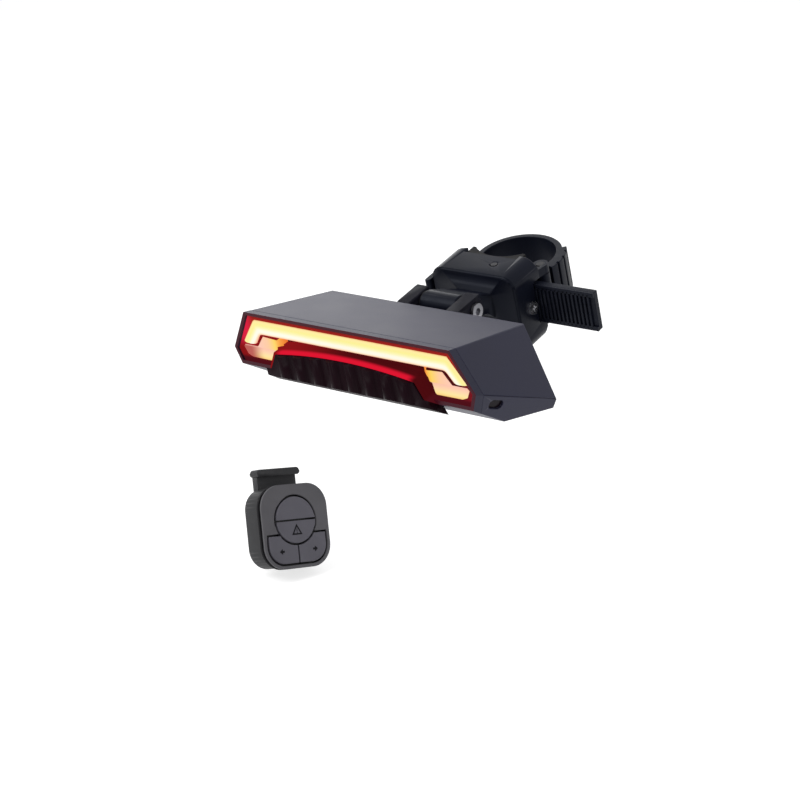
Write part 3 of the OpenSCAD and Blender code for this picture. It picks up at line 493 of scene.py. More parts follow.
@dataclass(frozen=True)
class BoardMask:
    """A circuit board: a coloured mask with copper lines under it."""

    name: str
    colour: Colour
    roughness: float = 0.25
    uneven: float = 0.2
    grain: float = 900.0
    lines: float = 260.0
    line_width: float = 0.07
    line_blur: float = 0.1
    copper_gain: float = 1.8
    copper_lift: float = 0.01
    strength: float = 0.3
    depth: float = 0.00003

    def material(self) -> Material:
        """Builds the finish.

        Returns:
            The material.
        """
        bench = Bench(self.name)
        pen, grain = bench.pen, bench.grain(self.grain)
        lines = pen.add(
            "ShaderNodeTexBrick", in_Vector=bench.place, in_Scale=self.lines,
            in_Mortar_Size=self.line_width, in_Mortar_Smooth=self.line_blur,
        )
        copper = tuple(min(1.0, c * self.copper_gain + self.copper_lift) for c in self.colour)
        bench.feed(
            Base_Color=pen.mix(lines.outputs["Fac"], copper, self.colour),
            Roughness=pen.maths("MULTIPLY_ADD", grain.outputs["Tone"], self.uneven, self.roughness),
        )
        bench.bump(lines.outputs["Fac"], self.strength, self.depth)
        return bench.material


@dataclass(frozen=True)
class ClearRed:
    """The red lens, with a painted red glow round the light guides and along the edge of its lip, standing in
    for the guides' light.

    Each run says where a change of light starts and ends on the lamp's front, in millimetres.
    """

    name: str
    colour: Colour
    shade: float = 0.7
    roughness: float = 0.38
    uneven: float = 0.1
    grain: float = 700.0
    flutes: float = 220.0
    strength: float = 0.06
    depth: float = 0.0001
    # Painted red glow, zone by zone: the guides' light painted into the lens, its ledge and the front edge of
    # its lip.
    edge_run: Point = (-0.9, -3.1)
    edge_glow: Colour = (0.11, 0.005, 0.012)
    middle_glow: Colour = (0.36, 0.020, 0.012)
    ledge_run: Point = (-6.6, -8.0)
    ledge_fade: Point = (-27.0, 6.0)
    ledge_glow: tuple[Colour, Colour] = ((0.24, 0.007, 0.008), (0.055, 0.003, 0.004))
    left_run: Point = (-38.5, -42.5)
    left_rise: Point = (-14.5, -9.5)
    left_glow: Colour = (0.72, 0.016, 0.055)
    right_run: Point = (40.5, 44.5)
    right_glow: Colour = (0.17, 0.009, 0.014)
    foot_run: Point = (-16.6, -18.0)
    foot_glow: Colour = (0.07, 0.005, 0.009)
    lip_run: Point = (0.2, 2.4)
    lip_side: Point = (28.2, 25.0)
    lip_glow: Colour = (0.72, 0.008, 0.030)

    def material(self) -> Material:
        """Builds the finish.

        Returns:
            The material.
        """
        bench = Bench(self.name)
        pen, grain = bench.pen, bench.grain(self.grain)
        flutes = pen.add("ShaderNodeTexWave", in_Vector=bench.place, in_Scale=self.flutes)
        shaded = tuple(c * self.shade for c in self.colour)
        bench.feed(
            Base_Color=pen.mix(grain.outputs["Patch"], self.colour, shaded),
            Emission_Color=self.light(bench),
            Emission_Strength=1.0,
            Specular_IOR_Level=0.0,
            Roughness=pen.maths("MULTIPLY_ADD", grain.outputs["Tone"], self.uneven, self.roughness),
        )
        bench.bump(flutes.outputs["Fac"], self.strength, self.depth)
        return bench.material

    def light(self, bench: Bench) -> NodeSocket:
        """Gives the lens's painted glow, by the place on the lamp's front.

        Args:
            bench: The material's bench.

        Returns:
            The colour's socket.
        """
        pen, place = bench.pen, bench.measure(Face.LAMP)
        across, up = place["Across"], place["Up"]
        lit = pen.mix(pen.step(up, *self.edge_run), self.edge_glow, self.middle_glow)
        ledge = pen.mix(pen.step(across, *self.ledge_fade), *self.ledge_glow)
        lit = pen.mix(pen.step(up, *self.ledge_run), lit, ledge)
        left = pen.maths("MULTIPLY", pen.step(across, *self.left_run), pen.step(up, *self.left_rise))
        lit = pen.mix(left, lit, self.left_glow)
        lit = pen.mix(pen.step(across, *self.right_run), lit, self.right_glow)
        lit = pen.mix(pen.step(up, *self.foot_run), lit, self.foot_glow)
        side = pen.step(pen.maths("ABSOLUTE", across), *self.lip_side)
        lip = pen.maths("MULTIPLY", pen.step(place["Out"], *self.lip_run), side)
        return pen.mix(lip, lit, self.lip_glow)


class Glow(Enum):
    """The two kinds of lit guide."""

    BAR = "bar"
    ARROW = "arrow"


@dataclass(frozen=True)
class LitGuide:
    """A frosted light guide that is on: the bar has a white core, the arrows run from amber to rose."""

    name: str
    kind: Glow
    light: float = 1.0
    clear: tuple[Colour, Colour] = ((0.05, 0.03, 0.015), (0.04, 0.022, 0.012))
    specular: float = 0.15
    roughness: float = 0.3
    uneven: float = 0.1
    grain: float = 420.0
    strength: float = 0.05
    depth: float = 0.00003
    bar_haze: float = 0.05
    arrow_haze: float = 0.8
    arrow_run: Point = (27.4, 39.0)
    foot_run: Point = (-17.6, -13.0)
    split_run: Point = (-13.5, -12.9)
    dim_run: Point = (-36.2, -42.6)
    dim_glow: Colour = (0.46, 0.08, 0.07)

    def material(self) -> Material:
        """Builds the finish.

        Returns:
            The material.
        """
        bench = Bench(self.name)
        pen, grain = bench.pen, bench.grain(self.grain)
        bench.feed(
            Base_Color=pen.mix(grain.outputs["Patch"], *self.clear),
            Emission_Color=self.bar(bench, grain) if self.kind is Glow.BAR else self.arrow(bench, grain),
            Emission_Strength=self.light,
            Specular_IOR_Level=self.specular,
            Roughness=pen.maths("MULTIPLY_ADD", grain.outputs["Patch"], self.uneven, self.roughness),
        )
        bench.bump(grain.outputs["Height"], self.strength, self.depth)
        return bench.material

    def bar(self, bench: Bench, grain: Node) -> NodeSocket:
        """Gives the bar's light, by the place across it.

        Args:
            bench: The material's bench.
            grain: The grain's node.

        Returns:
            The colour's socket.
        """
        pen = bench.pen
        across = pen.add("ShaderNodeSeparateXYZ", in_0=pen.add("ShaderNodeUVMap", uv_map="across").outputs[0])
        tone = pen.maths("SUBTRACT", grain.outputs["Tone"], 0.5)
        value = pen.maths("MULTIPLY_ADD", tone, self.bar_haze, across.outputs[1])
        return pen.ramp(value, [
            (0.0, (0.88, 0.50, 0.20)),
            (0.08, (0.97, 0.82, 0.36)),
            (0.30, (0.93, 0.86, 0.29)),
            (0.48, (0.94, 0.90, 0.46)),
            (0.66, (0.96, 0.95, 0.78)),
            (0.80, (0.97, 0.94, 0.80)),
            (0.90, (0.97, 0.80, 0.55)),
            (1.0, (0.92, 0.42, 0.28)),
        ])

    def arrow(self, bench: Bench, grain: Node) -> NodeSocket:
        """Gives an arrow's light: amber at the inner end, rose further out, yellow along the foot.

        Args:
            bench: The material's bench.
            grain: The grain's node.

        Returns:
            The colour's socket.
        """
        pen, place = bench.pen, bench.measure(Face.LAMP)
        wide = pen.maths("ABSOLUTE", place["Across"])
        wide = pen.maths("MULTIPLY_ADD", grain.outputs["Patch"], self.arrow_haze, wide)
        upper = pen.ramp(pen.step(wide, *self.arrow_run, "LINEAR"), [
            (0.0, (0.80, 0.12, 0.02)),
            (0.22, (0.93, 0.34, 0.05)),
            (0.40, (0.97, 0.66, 0.12)),
            (0.66, (0.96, 0.58, 0.34)),
            (1.0, (0.95, 0.56, 0.44)),
        ])
        lower = pen.ramp(pen.step(place["Up"], *self.foot_run, "LINEAR"), [
            (0.0, (0.95, 0.55, 0.16)),
            (0.30, (0.98, 0.78, 0.34)),
            (0.62, (0.97, 0.65, 0.40)),
            (1.0, (0.93, 0.50, 0.40)),
        ])
        lower = pen.mix(pen.step(place["Across"], *self.dim_run), lower, self.dim_glow)
        return pen.mix(pen.step(place["Up"], *self.split_run), lower, upper)


# Mesh tools


def mesh_piece(name: str, mesh: Mesh, material: Material) -> bpy.types.Object:
    """Puts a mesh into the scene with its material.

    Args:
        name: The piece's name.
        mesh: The mesh, with its place in its points.
        material: The finish.

    Returns:
        The new object.
    """
    piece = bpy.data.objects.new(name, mesh)
    mesh.materials.clear()
    mesh.materials.append(material)
    bpy.context.scene.collection.objects.link(piece)
    return piece


def seat(piece: bpy.types.Object, body: str, replaced: Sequence[str] = ()) -> bpy.types.Object:
    """Lets a piece ride on a body, and hides the nodes that it stands for.

    Args:
        piece: The piece.
        body: The body that it rides on.
        replaced: The nodes that it stands for.

    Returns:
        The same piece.
    """
    if replaced:
        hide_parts(*replaced)
    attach(piece, body)
    log.info("%s rides on %s, %d faces", piece.name, body, len(piece.data.polygons))
    return piece


@contextmanager
def editing(mesh: Mesh) -> Iterator[BMesh]:
    """Opens a mesh for editing, and writes it back at the end.

    Args:
        mesh: The mesh, which is changed.

    Yields:
        The open mesh.
    """
    work = bmesh.new()
    work.from_mesh(mesh)
    yield work
    work.to_mesh(mesh)
    work.free()


def merge(mesh: Mesh, gap: float = 2e-6, flat: float = 0.4) -> None:
    """Joins the loose triangles of a mesh and makes plain faces of them.

    Args:
        mesh: The mesh, which is changed.
        gap: Widest gap between points that are joined, in metres.
        flat: Largest angle between faces that become one, in degrees.
    """
    with editing(mesh) as work:
        bmesh.ops.remove_doubles(work, verts=work.verts, dist=gap)
        bmesh.ops.dissolve_limit(
            work, angle_limit=math.radians(flat), verts=work.verts, edges=work.edges,
            use_dissolve_boundaries=False,
        )


def shave(mesh: Mesh, point: Vector, normal: Vector) -> None:
    """Cuts off what stands in front of a plane, and closes the cut.

    Args:
        mesh: The mesh, which is changed.
        point: A point of the plane, in metres.
        normal: The direction of what is cut off.
    """
    with editing(mesh) as work:
        every = [*work.verts, *work.edges, *work.faces]
        bmesh.ops.bisect_plane(work, geom=every, dist=TINY, plane_co=point, plane_no=normal, clear_outer=True)
        bmesh.ops.holes_fill(work, edges=[e for e in work.edges if e.is_boundary], sides=0)
        bmesh.ops.recalc_face_normals(work, faces=work.faces)


def reach(edge: BMEdge, face: BMFace, shares: Sequence[float] = (0.1, 0.5, 0.9)) -> float:
    """Measures how far a face goes on beside one of its edges.

    Args:
        edge: The edge.
        face: One of its faces.
        shares: Places along the edge where the face is measured, as shares of its length.

    Returns:
        The shortest way across the face in metres.
    """
    loop = next(item for item in face.loops if item.edge == edge)
    start, span = loop.vert.co, edge.calc_length()
    along = (loop.link_loop_next.vert.co - start).normalized()
    inward = face.normal.cross(along)
    flat = {v: ((v.co - start).dot(along), (v.co - start).dot(inward)) for v in face.verts}
    across = []
    for share in shares:
        for other in face.edges:
            (near, low), (far, high) = (flat[v] for v in other.verts)
            near, far = near - share * span, far - share * span
            if near * far < 0:
                across.append(low + (high - low) * near / (near - far))
    return min((way for way in across if way > TINY), default=math.inf)


def roundable(
    work: BMesh, width: float, limit: float, room: float = 2.2, spare: float = 1.6, slant: float = 0.77
) -> list[BMEdge]:
    """Picks the outward edges that have room for a rounding.

    Args:
        work: The mesh.
        width: Width of the rounding in metres.
        limit: Smallest angle between faces that counts as an edge, in radians.
        room: Room that an edge needs on both sides, in widths.
        spare: Length that a neighbour needs if it stays sharp, in widths.
        slant: Smallest cosine between a short edge and a rounded neighbour.

    Returns:
        The edges.
    """
    sharp = [e for e in work.edges if len(e.link_faces) == 2 and e.calc_face_angle_signed(0.0) > limit]
    chosen = dict.fromkeys(e for e in sharp if min(reach(e, f) for f in e.link_faces) > room * width)
    for edge in list(chosen):
        short = edge.calc_length() < room * width
        for vert in edge.verts:
            along = (edge.other_vert(vert).co - vert.co).normalized()
            others = [o for o in vert.link_edges if o != edge]
            ways = [(o.other_vert(vert).co - vert.co).normalized() for o in others if o in chosen]
            tight = any(o not in chosen and o.calc_length() < spare * width for o in others)
            if tight or short and any(abs(way.dot(along)) < slant for way in ways):
                del chosen[edge]
                break
    return list(chosen)


def soften(mesh: Mesh, width: float, angle: float = 24.0, level: float = 0.6, curved: float = 10.0) -> None:
    """Rounds the sharp outward edges of a mesh.

    Args:
        mesh: The mesh, which is changed.
        width: Width of the rounding in metres.
        angle: Smallest angle between faces that counts as an edge, in degrees.
        level: Largest angle between faces that counts as flat, in degrees.
        curved: Largest angle between faces that counts as part of a curve, in degrees.
    """
    low, high = math.radians(level), math.radians(curved)
    with editing(mesh) as work:
        for face in work.faces:
            face.smooth = any(low < e.calc_face_angle(0.0) <= high for e in face.edges)
        chosen = roundable(work, width, math.radians(angle))
        if chosen:
            made = bmesh.ops.bevel(
                work, geom=chosen, offset=width, offset_type="OFFSET", segments=3, profile=0.5,
                affect="EDGES", clamp_overlap=False,
            )
            for face in made["faces"]:
                face.smooth = True
        bmesh.ops.connect_verts_concave(work, faces=work.faces)


def settle(mesh: Mesh, kind: str, **values: object) -> Mesh:
    """Runs one modifier over a mesh and gives the plain result.

    Args:
        mesh: The mesh.
        kind: The modifier's type.
        values: Its properties by name, and a node tree's inputs by their identifiers.

    Returns:
        The new mesh, under the old one's name.
    """
    piece = bpy.data.objects.new("work", mesh)
    bpy.context.scene.collection.objects.link(piece)
    modifier = piece.modifiers.new("work", kind)
    for key, value in values.items():
        if key.startswith("Socket_"):
            modifier[key] = value
        else:
            setattr(modifier, key, value)
    graph = bpy.context.evaluated_depsgraph_get()
    made = bpy.data.meshes.new_from_object(piece.evaluated_get(graph))
    bpy.data.objects.remove(piece)
    name = mesh.name
    bpy.data.meshes.remove(mesh)
    made.name = name
    return made


def polish(mesh: Mesh, sharp: float = 38.0) -> Mesh:
    """Gives the mesh weighted normals, which keep flat faces flat beside their rounded edges."""
    mesh.set_sharp_from_angle(angle=math.radians(sharp))
    return settle(mesh, "WEIGHTED_NORMAL", weight=50, keep_sharp=True)


@dataclass(frozen=True)
class RibRow:
    """A row of rounded ribs, in millimetres of a local frame."""

    count: int
    start: Spot
    step: Spot
    width: float
    rise: float
    length: float
    rounding: float
    turn: Spot = (0.0, 0.0, 0.0)


class RibTree:
    """Geometry nodes that set a row of ribs on a piece."""

    INPUTS = {
        "Geometry": ["Geometry"],
        "Int": ["Count"],
        "Vector": ["Start", "Step"],
        "Float": ["Width", "Rise", "Length", "Rounding"],
        "Rotation": ["Turn"],
        "Material": ["Material"],
    }

    def __init__(self) -> None:
        """Builds the tree once."""
        self.tree = bpy.data.node_groups.new("row_of_ribs", "GeometryNodeTree")
        self.names: dict[str, str] = {}
        for kind, labels in self.INPUTS.items():
            for label in labels:
                made = self.tree.interface.new_socket(label, in_out="INPUT", socket_type="NodeSocket" + kind)
                self.names[label] = made.identifier
        self.tree.interface.new_socket("Geometry", in_out="OUTPUT", socket_type="NodeSocketGeometry")
        self.draw()

    def draw(self) -> None:
        """Draws the nodes: a rounded rib, its copies along a line, and the piece that carries them."""
        pen = Sketch(self.tree)
        source = pen.add("NodeGroupInput").outputs
        square = pen.add("GeometryNodeCurvePrimitiveQuadrilateral", in_0=source["Width"], in_1=source["Rise"])
        section = pen.add(
            "GeometryNodeFilletCurve", mode="POLY", in_Curve=square.outputs[0], in_Count=3,
            in_Radius=source["Rounding"], in_Limit_Radius=True,
        )
        halves = [pen.maths("MULTIPLY", source["Length"], share) for share in (-0.5, 0.5)]
        ends = [pen.add("ShaderNodeCombineXYZ", in_Y=half).outputs[0] for half in halves]
        spine = pen.add("GeometryNodeCurvePrimitiveLine", in_0=ends[0], in_1=ends[1])
        rib = pen.add(
            "GeometryNodeCurveToMesh", in_0=spine.outputs[0],
            in_Profile_Curve=section.outputs[0], in_Fill_Caps=True,
        )
        line = pen.add(
            "GeometryNodeMeshLine", in_Count=source["Count"],
            in_Start_Location=source["Start"], in_Offset=source["Step"],
        )
        row = pen.add(
            "GeometryNodeInstanceOnPoints", in_Points=line.outputs[0],
            in_Instance=rib.outputs[0], in_Rotation=source["Turn"],
        )
        both = pen.add("GeometryNodeJoinGeometry", in_0=source["Geometry"])
        self.tree.links.new(row.outputs[0], both.inputs[0])
        real = pen.add("GeometryNodeRealizeInstances", in_0=both.outputs[0])
        dressed = pen.add("GeometryNodeSetMaterial", in_0=real.outputs[0], in_Material=source["Material"])
        pen.add("NodeGroupOutput", in_0=dressed.outputs[0])

    def grow(self, mesh: Mesh, row: RibRow, frame_of: Axes, material: Material) -> Mesh:
        """Sets a row of ribs on a mesh.

        Args:
            mesh: The mesh, in the part's frame.
            row: The row.
            frame_of: The local frame that the row is measured in.
            material: The finish.

        Returns:
            The mesh with its ribs.
        """
        place = frame_of.matrix()
        mesh.transform(place.inverted())
        turn = tuple(math.radians(angle) for angle in row.turn)
        values = {"Count": row.count, "Turn": turn, "Material": material}
        for label in self.INPUTS["Vector"]:
            values[label] = tuple(v * MM for v in getattr(row, label.lower()))
        for label in self.INPUTS["Float"]:
            values[label] = getattr(row, label.lower()) * MM
        sockets = {self.names[label]: value for label, value in values.items()}
        made = settle(mesh, "NODES", node_group=self.tree, **sockets)
        made.transform(place)
        return made


def round_path(points: Sequence[Point], radius: float, steps: int = 6) -> list[Vector]:
    """Rounds the corners of an open line.

    Args:
        points: The line's points.
        radius: How far from a corner the rounding starts.
        steps: Number of parts that each rounding has.

    Returns:
        The rounded line's points.
    """
    line = [Vector(p) for p in points]
    path = [line[0]]
    for before, corner, after in zip(line, line[1:], line[2:]):
        into, away = (before - corner).normalized() * radius, (after - corner).normalized() * radius
        path += [corner + into * (1 - i / steps) ** 2 + away * (i / steps) ** 2 for i in range(steps + 1)]
    return [*path, line[-1]]


def soft_copy(node: str, width: float, cut: Optional[tuple[Vector, Vector]] = None) -> Mesh:
    """Makes a copy of a dressed node's mesh with rounded edges.

    Args:
        node: The node.
        width: Width of the rounding in millimetres.
        cut: A plane in front of which the copy is cut off, as a point and a direction.

    Returns:
        The copy, named after the node.
    """
    mesh = frame["nodes"][node].data.copy()
    mesh.name = node + "_formed"
    merge(mesh)
    if cut:
        shave(mesh, *cut)
    soften(mesh, width * MM)
    return mesh


def dress(nodes: Sequence[str], material: Material) -> None:
    """Gives nodes of the frame a finish.

    Args:
        nodes: The nodes.
        material: The finish.
    """
    for node in nodes:
        data = frame["nodes"][node].data
        data.materials.clear()
        data.materials.append(material)
        log.info("%s keeps its shape, in %s", node, material.name)


def listed(**entries: object) -> object:
    """Makes a dataclass field that holds these entries."""
    return field(default_factory=lambda: dict(entries))


def body_of(node: str) -> str:
    """Gives the body that a node rides on."""
    return frame["nodes"][node]["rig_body"]


@dataclass
class Assembly:
    """A group of nodes: some stand in rounded copies, the others keep their shape."""

    rounded: Rounded
    plain: Plain

    def build(self, finishes: Finishes) -> None:
        """Makes the rounded copies and dresses the rest.

        Args:
            finishes: Materials by name.
        """
        for node, (finish, width) in self.rounded.items():
            dress([node], finishes[finish])
            self.form(node, soft_copy(node, width), finishes[finish])
        for finish, nodes in self.plain.items():
            dress(nodes, finishes[finish])

    def form(self, node: str, mesh: Mesh, material: Material) -> None:
        """Puts a formed mesh, with its finish, in the place of a node."""
        piece = mesh_piece(mesh.name, polish(mesh), material)
        seat(piece, body_of(node), [node])


@dataclass
class Clamp(Assembly):
    """The seat post clamp: block, ribbed strap, release lever and their small parts."""

    rounded: Rounded = listed(clamp_block=("bracket", 0.7))
    plain: Plain = listed(
        rubber=["saddle_pads"],
        oxide=["strap_pin", "lever_pin"],
        bolt=["lever_spring"],
        steel=["spring_screw"],
    )
    post: Axes = POST_AXES
    strap_face: float = 15.8
    strap_tail: float = 40.5
    strap_half: float = 7.3
    border: float = 1.6
    rib_first: float = 1.4
    rib_pitch: float = 1.6
    rib_count: int = 24
    rib_rise: float = 0.7
    sink: float = 0.06
    skim: float = 0.01
    strap_soft: float = 0.2
    rib_soft: float = 0.14
    border_soft: float = 0.18
    lever_soft: float = 0.35
    ridge_place: float = -19.95
    ridge_middle: float = 24.55
    ridge_pitch: float = 1.5
    ridge_count: int = 4
    ridge_width: float = 0.8
    ridge_rise: float = 0.7
    ridge_length: float = 17.0
    ridge_soft: float = 0.3

    def build(self, finishes: Finishes) -> None:
        """Makes the block, then the strap and the lever with their ribs.

        Args:
            finishes: Materials by name.
        """
        super().build(finishes)
        ribs, finish = RibTree(), finishes["bracket"]
        dress(["strap", "release_lever"], finish)
        cut = (self.post.at(0, 0, self.strap_face - self.skim), self.post.out)
        strap = soft_copy("strap", self.strap_soft, cut)
        for row in self.strap_rows():
            strap = ribs.grow(strap, row, self.post, finish)
        self.form("strap", strap, finish)
        lever = soft_copy("release_lever", self.lever_soft)
        self.form("release_lever", ribs.grow(lever, self.thumb_row(), self.post, finish), finish)

    def strap_rows(self) -> list[RibRow]:
        """Gives the strap's ribs and the two borders beside them.

        Returns:
            The rows.
        """
        rise = self.rib_rise + self.sink
        middle = self.strap_face - self.sink + rise / 2
        edge = self.strap_half - self.border / 2
        ribs = RibRow(
            self.rib_count, (self.rib_first, 0, middle), (self.rib_pitch, 0, 0),
            self.rib_pitch / 2, rise, 2 * edge, self.rib_soft,
        )
        borders = RibRow(
            2, (self.strap_tail / 2, -edge, middle), (0, 2 * edge, 0),
            self.border, rise, self.strap_tail, self.border_soft, (0, 0, 90),
        )
        return [ribs, borders]

    def thumb_row(self) -> RibRow:
        """Gives the thumb ridges on the release lever's tab."""
        first = self.ridge_middle - self.ridge_pitch * (self.ridge_count - 1) / 2
        return RibRow(
            self.ridge_count, (self.ridge_place, 0, first), (0, 0, self.ridge_pitch),
            self.ridge_width, self.ridge_rise, self.ridge_length, self.ridge_soft, (0, 90, 0),
        )


@dataclass
class TiltHinge(Assembly):
    """The fork on the lamp's rear, with its bolt, nut, washers and screws."""

    rounded: Rounded = listed(lamp_fork=("fork", 0.5))
    plain: Plain = listed(bolt=["fork_screws", "tilt_bolt", "tilt_nut"], rubber=["friction_washers"])


@dataclass
class Housing(Assembly):
    """The lamp's two shells with their seal, screws, covers and windows."""

    rounded: Rounded = listed(
        upper_housing=("housing", 0.35),
        lower_housing=("housing", 0.2),
        usb_cover=("rubber", 0.25),
        power_button=("rubber", 0.3),
    )
    plain: Plain = listed(
        rubber=["housing_seal"],
        steel=["housing_screws", "usb_socket", "power_switch"],
        window=["laser_windows"],
        brass=["laser_modules"],
        board=["control_board"],
        wrap=["battery"],
    )


@dataclass
class Front(Assembly):
    """The lamp's front: bezel, lens, lit guides, ribbed grip and what lies behind them."""

    rounded: Rounded = listed(
        front_bezel=("bezel", 0.12),
        lens=("lens", 0.15),
        left_arrow_guide=("arrow", 0.3),
        right_arrow_guide=("arrow", 0.3),
        ribbed_grip=("grip", 0.35),
    )
    plain: Plain = listed(shade=["reflector"], board=["led_board"], chip=["red_leds"], arrow=["amber_leds"])
    face: Axes = LAMP_AXES
    bar_top: float = -3.2
    bar_height: float = 5.2
    bar_corner: float = 38.85
    bar_inner: float = 37.15
    bar_end: Point = (45.37, -12.2)
    bar_end_width: float = 5.2
    bar_end_slant: float = 0.3
    bar_front: float = 1.2
    bar_back: float = 3.4
    bar_crown: float = 0.35
    crown_power: int = 6
    bar_round: float = 1.1
    bar_sharp: float = 40.0
    tip_parts: tuple[float, ...] = (0.0, 0.05, 0.2, 0.45, 0.75, 1.0)
    root_back: float = 5.6
    root_sink: float = 0.3
    root_drop: float = 0.45
    root_height: float = 3.7

    def build(self, finishes: Finishes) -> None:
        """Makes the front's pieces and the crowned light bar.

        Args:
            finishes: Materials by name.
        """
        super().build(finishes)
        dress(["light_bar"], finishes["bar"])
        bar = mesh_piece("light_bar_formed", self.bar_mesh(), finishes["bar"])
        seat(bar, "lamp", ["light_bar"])

    def tip(self, end: Sequence[Vector], after: Sequence[Vector]) -> list[Station]:
        """Gives the cross lines of one of the light bar's rounded tips, from the end inwards.

        Args:
            end: Outer and inner point of the end line.
            after: Outer and inner point of the line after it.

        Returns:
            For each line its outer and inner point, and how much its ends are cut.
        """
        made, length = [], (after[0] - end[0]).length
        for part in self.tip_parts:
            share = part * self.bar_round / length
            cut = self.bar_round * (1 - math.sqrt(1 - (1 - part) ** 2))
            made.append((end[0].lerp(after[0], share), end[1].lerp(after[1], share), cut))
        return made

    def stations(self) -> list[Station]:
        """Gives the cross lines of the light bar, from its left end to its right end.

        Returns:
            For each line its outer and inner point, and how much its ends are cut.
        """
        end_x, end_v = self.bar_end
        low, inset = self.bar_top - self.bar_height, end_x - self.bar_end_width
        outer = [(end_x, end_v), (self.bar_corner, self.bar_top)]
        inner = [(inset, end_v - self.bar_end_slant), (self.bar_inner, low)]
        sides = [[(-x, v) for x, v in half] + half[::-1] for half in (outer, inner)]
        lines = list(zip(*(round_path(side, self.bar_round) for side in sides)))
        left, right = self.tip(lines[0], lines[1]), self.tip(lines[-1], lines[-2])
        return [*left, *((a, b, 0.0) for a, b in lines[1:-1]), *reversed(right)]

    def bar_mesh(self, rows: int = 14) -> Mesh:
        """Builds the light bar: a strip between its two outlines, with a crowned front and a root.

        Args:
            rows: Number of faces across the bar.

        Returns:
            The mesh, whose UV map runs along and across the bar.
        """
        lines = self.stations()
        work = bmesh.new()
        across = work.loops.layers.uv.new("across")
        marks: dict[BMVert, Point] = {}
        front: list[list[BMVert]] = []
        back: list[list[BMVert]] = []
        for i, (edge, core, cut) in enumerate(lines):
            share = cut / (core - edge).length
            for layer, base, crown in ((front, -self.bar_front, self.bar_crown), (back, -self.bar_back, 0.0)):
                line = []
                for j in range(rows + 1):
                    t = share + (1 - 2 * share) * j / rows
                    spot = edge.lerp(core, t)
                    drop = crown * (2 * j / rows - 1) ** self.crown_power
                    vert = work.verts.new(self.face.at(spot.x, spot.y, base - drop))
                    marks[vert] = (i / (len(lines) - 1), t)
                    line.append(vert)
                layer.append(line)
        for i in range(len(lines) - 1):
            for j in range(rows):
                work.faces.new((front[i][j], front[i][j + 1], front[i + 1][j + 1], front[i + 1][j]))
                work.faces.new((back[i][j], back[i + 1][j], back[i + 1][j + 1], back[i][j + 1]))
            for j in (0, rows):
                work.faces.new((front[i][j], front[i + 1][j], back[i + 1][j], back[i][j]))
        for i in (0, len(lines) - 1):
            for j in range(rows):
                work.faces.new((front[i][j], front[i][j + 1], back[i][j + 1], back[i][j]))
        bmesh.ops.recalc_face_normals(work, faces=work.faces)
        for vert in self.root(work):
            marks[vert] = (0.5, 0.5)
        for face in work.faces:
            face.smooth = True
            for loop in face.loops:
                loop[across].uv = marks[loop.vert]
        mesh = bpy.data.meshes.new("light_bar_formed")
        work.to_mesh(mesh)
        work.free()
        mesh.set_sharp_from_angle(angle=math.radians(self.bar_sharp))
        return mesh

    def root(self, work: BMesh) -> list[BMVert]:
        """Adds the bar's root, which reaches back to the light emitters.

        Args:
            work: The bar's mesh.

        Returns:
            The root's points.
        """
        made = bmesh.ops.create_cube(work, size=1.0)["verts"]
        middle = self.bar_top - self.bar_height / 2 - self.root_drop
        for vert in made:
            x, y, z = vert.co
            deep = self.root_sink - self.bar_back if z > 0 else -self.root_back
            vert.co = self.face.at(x * 2 * self.bar_inner, middle + y * self.root_height, deep)
        return made


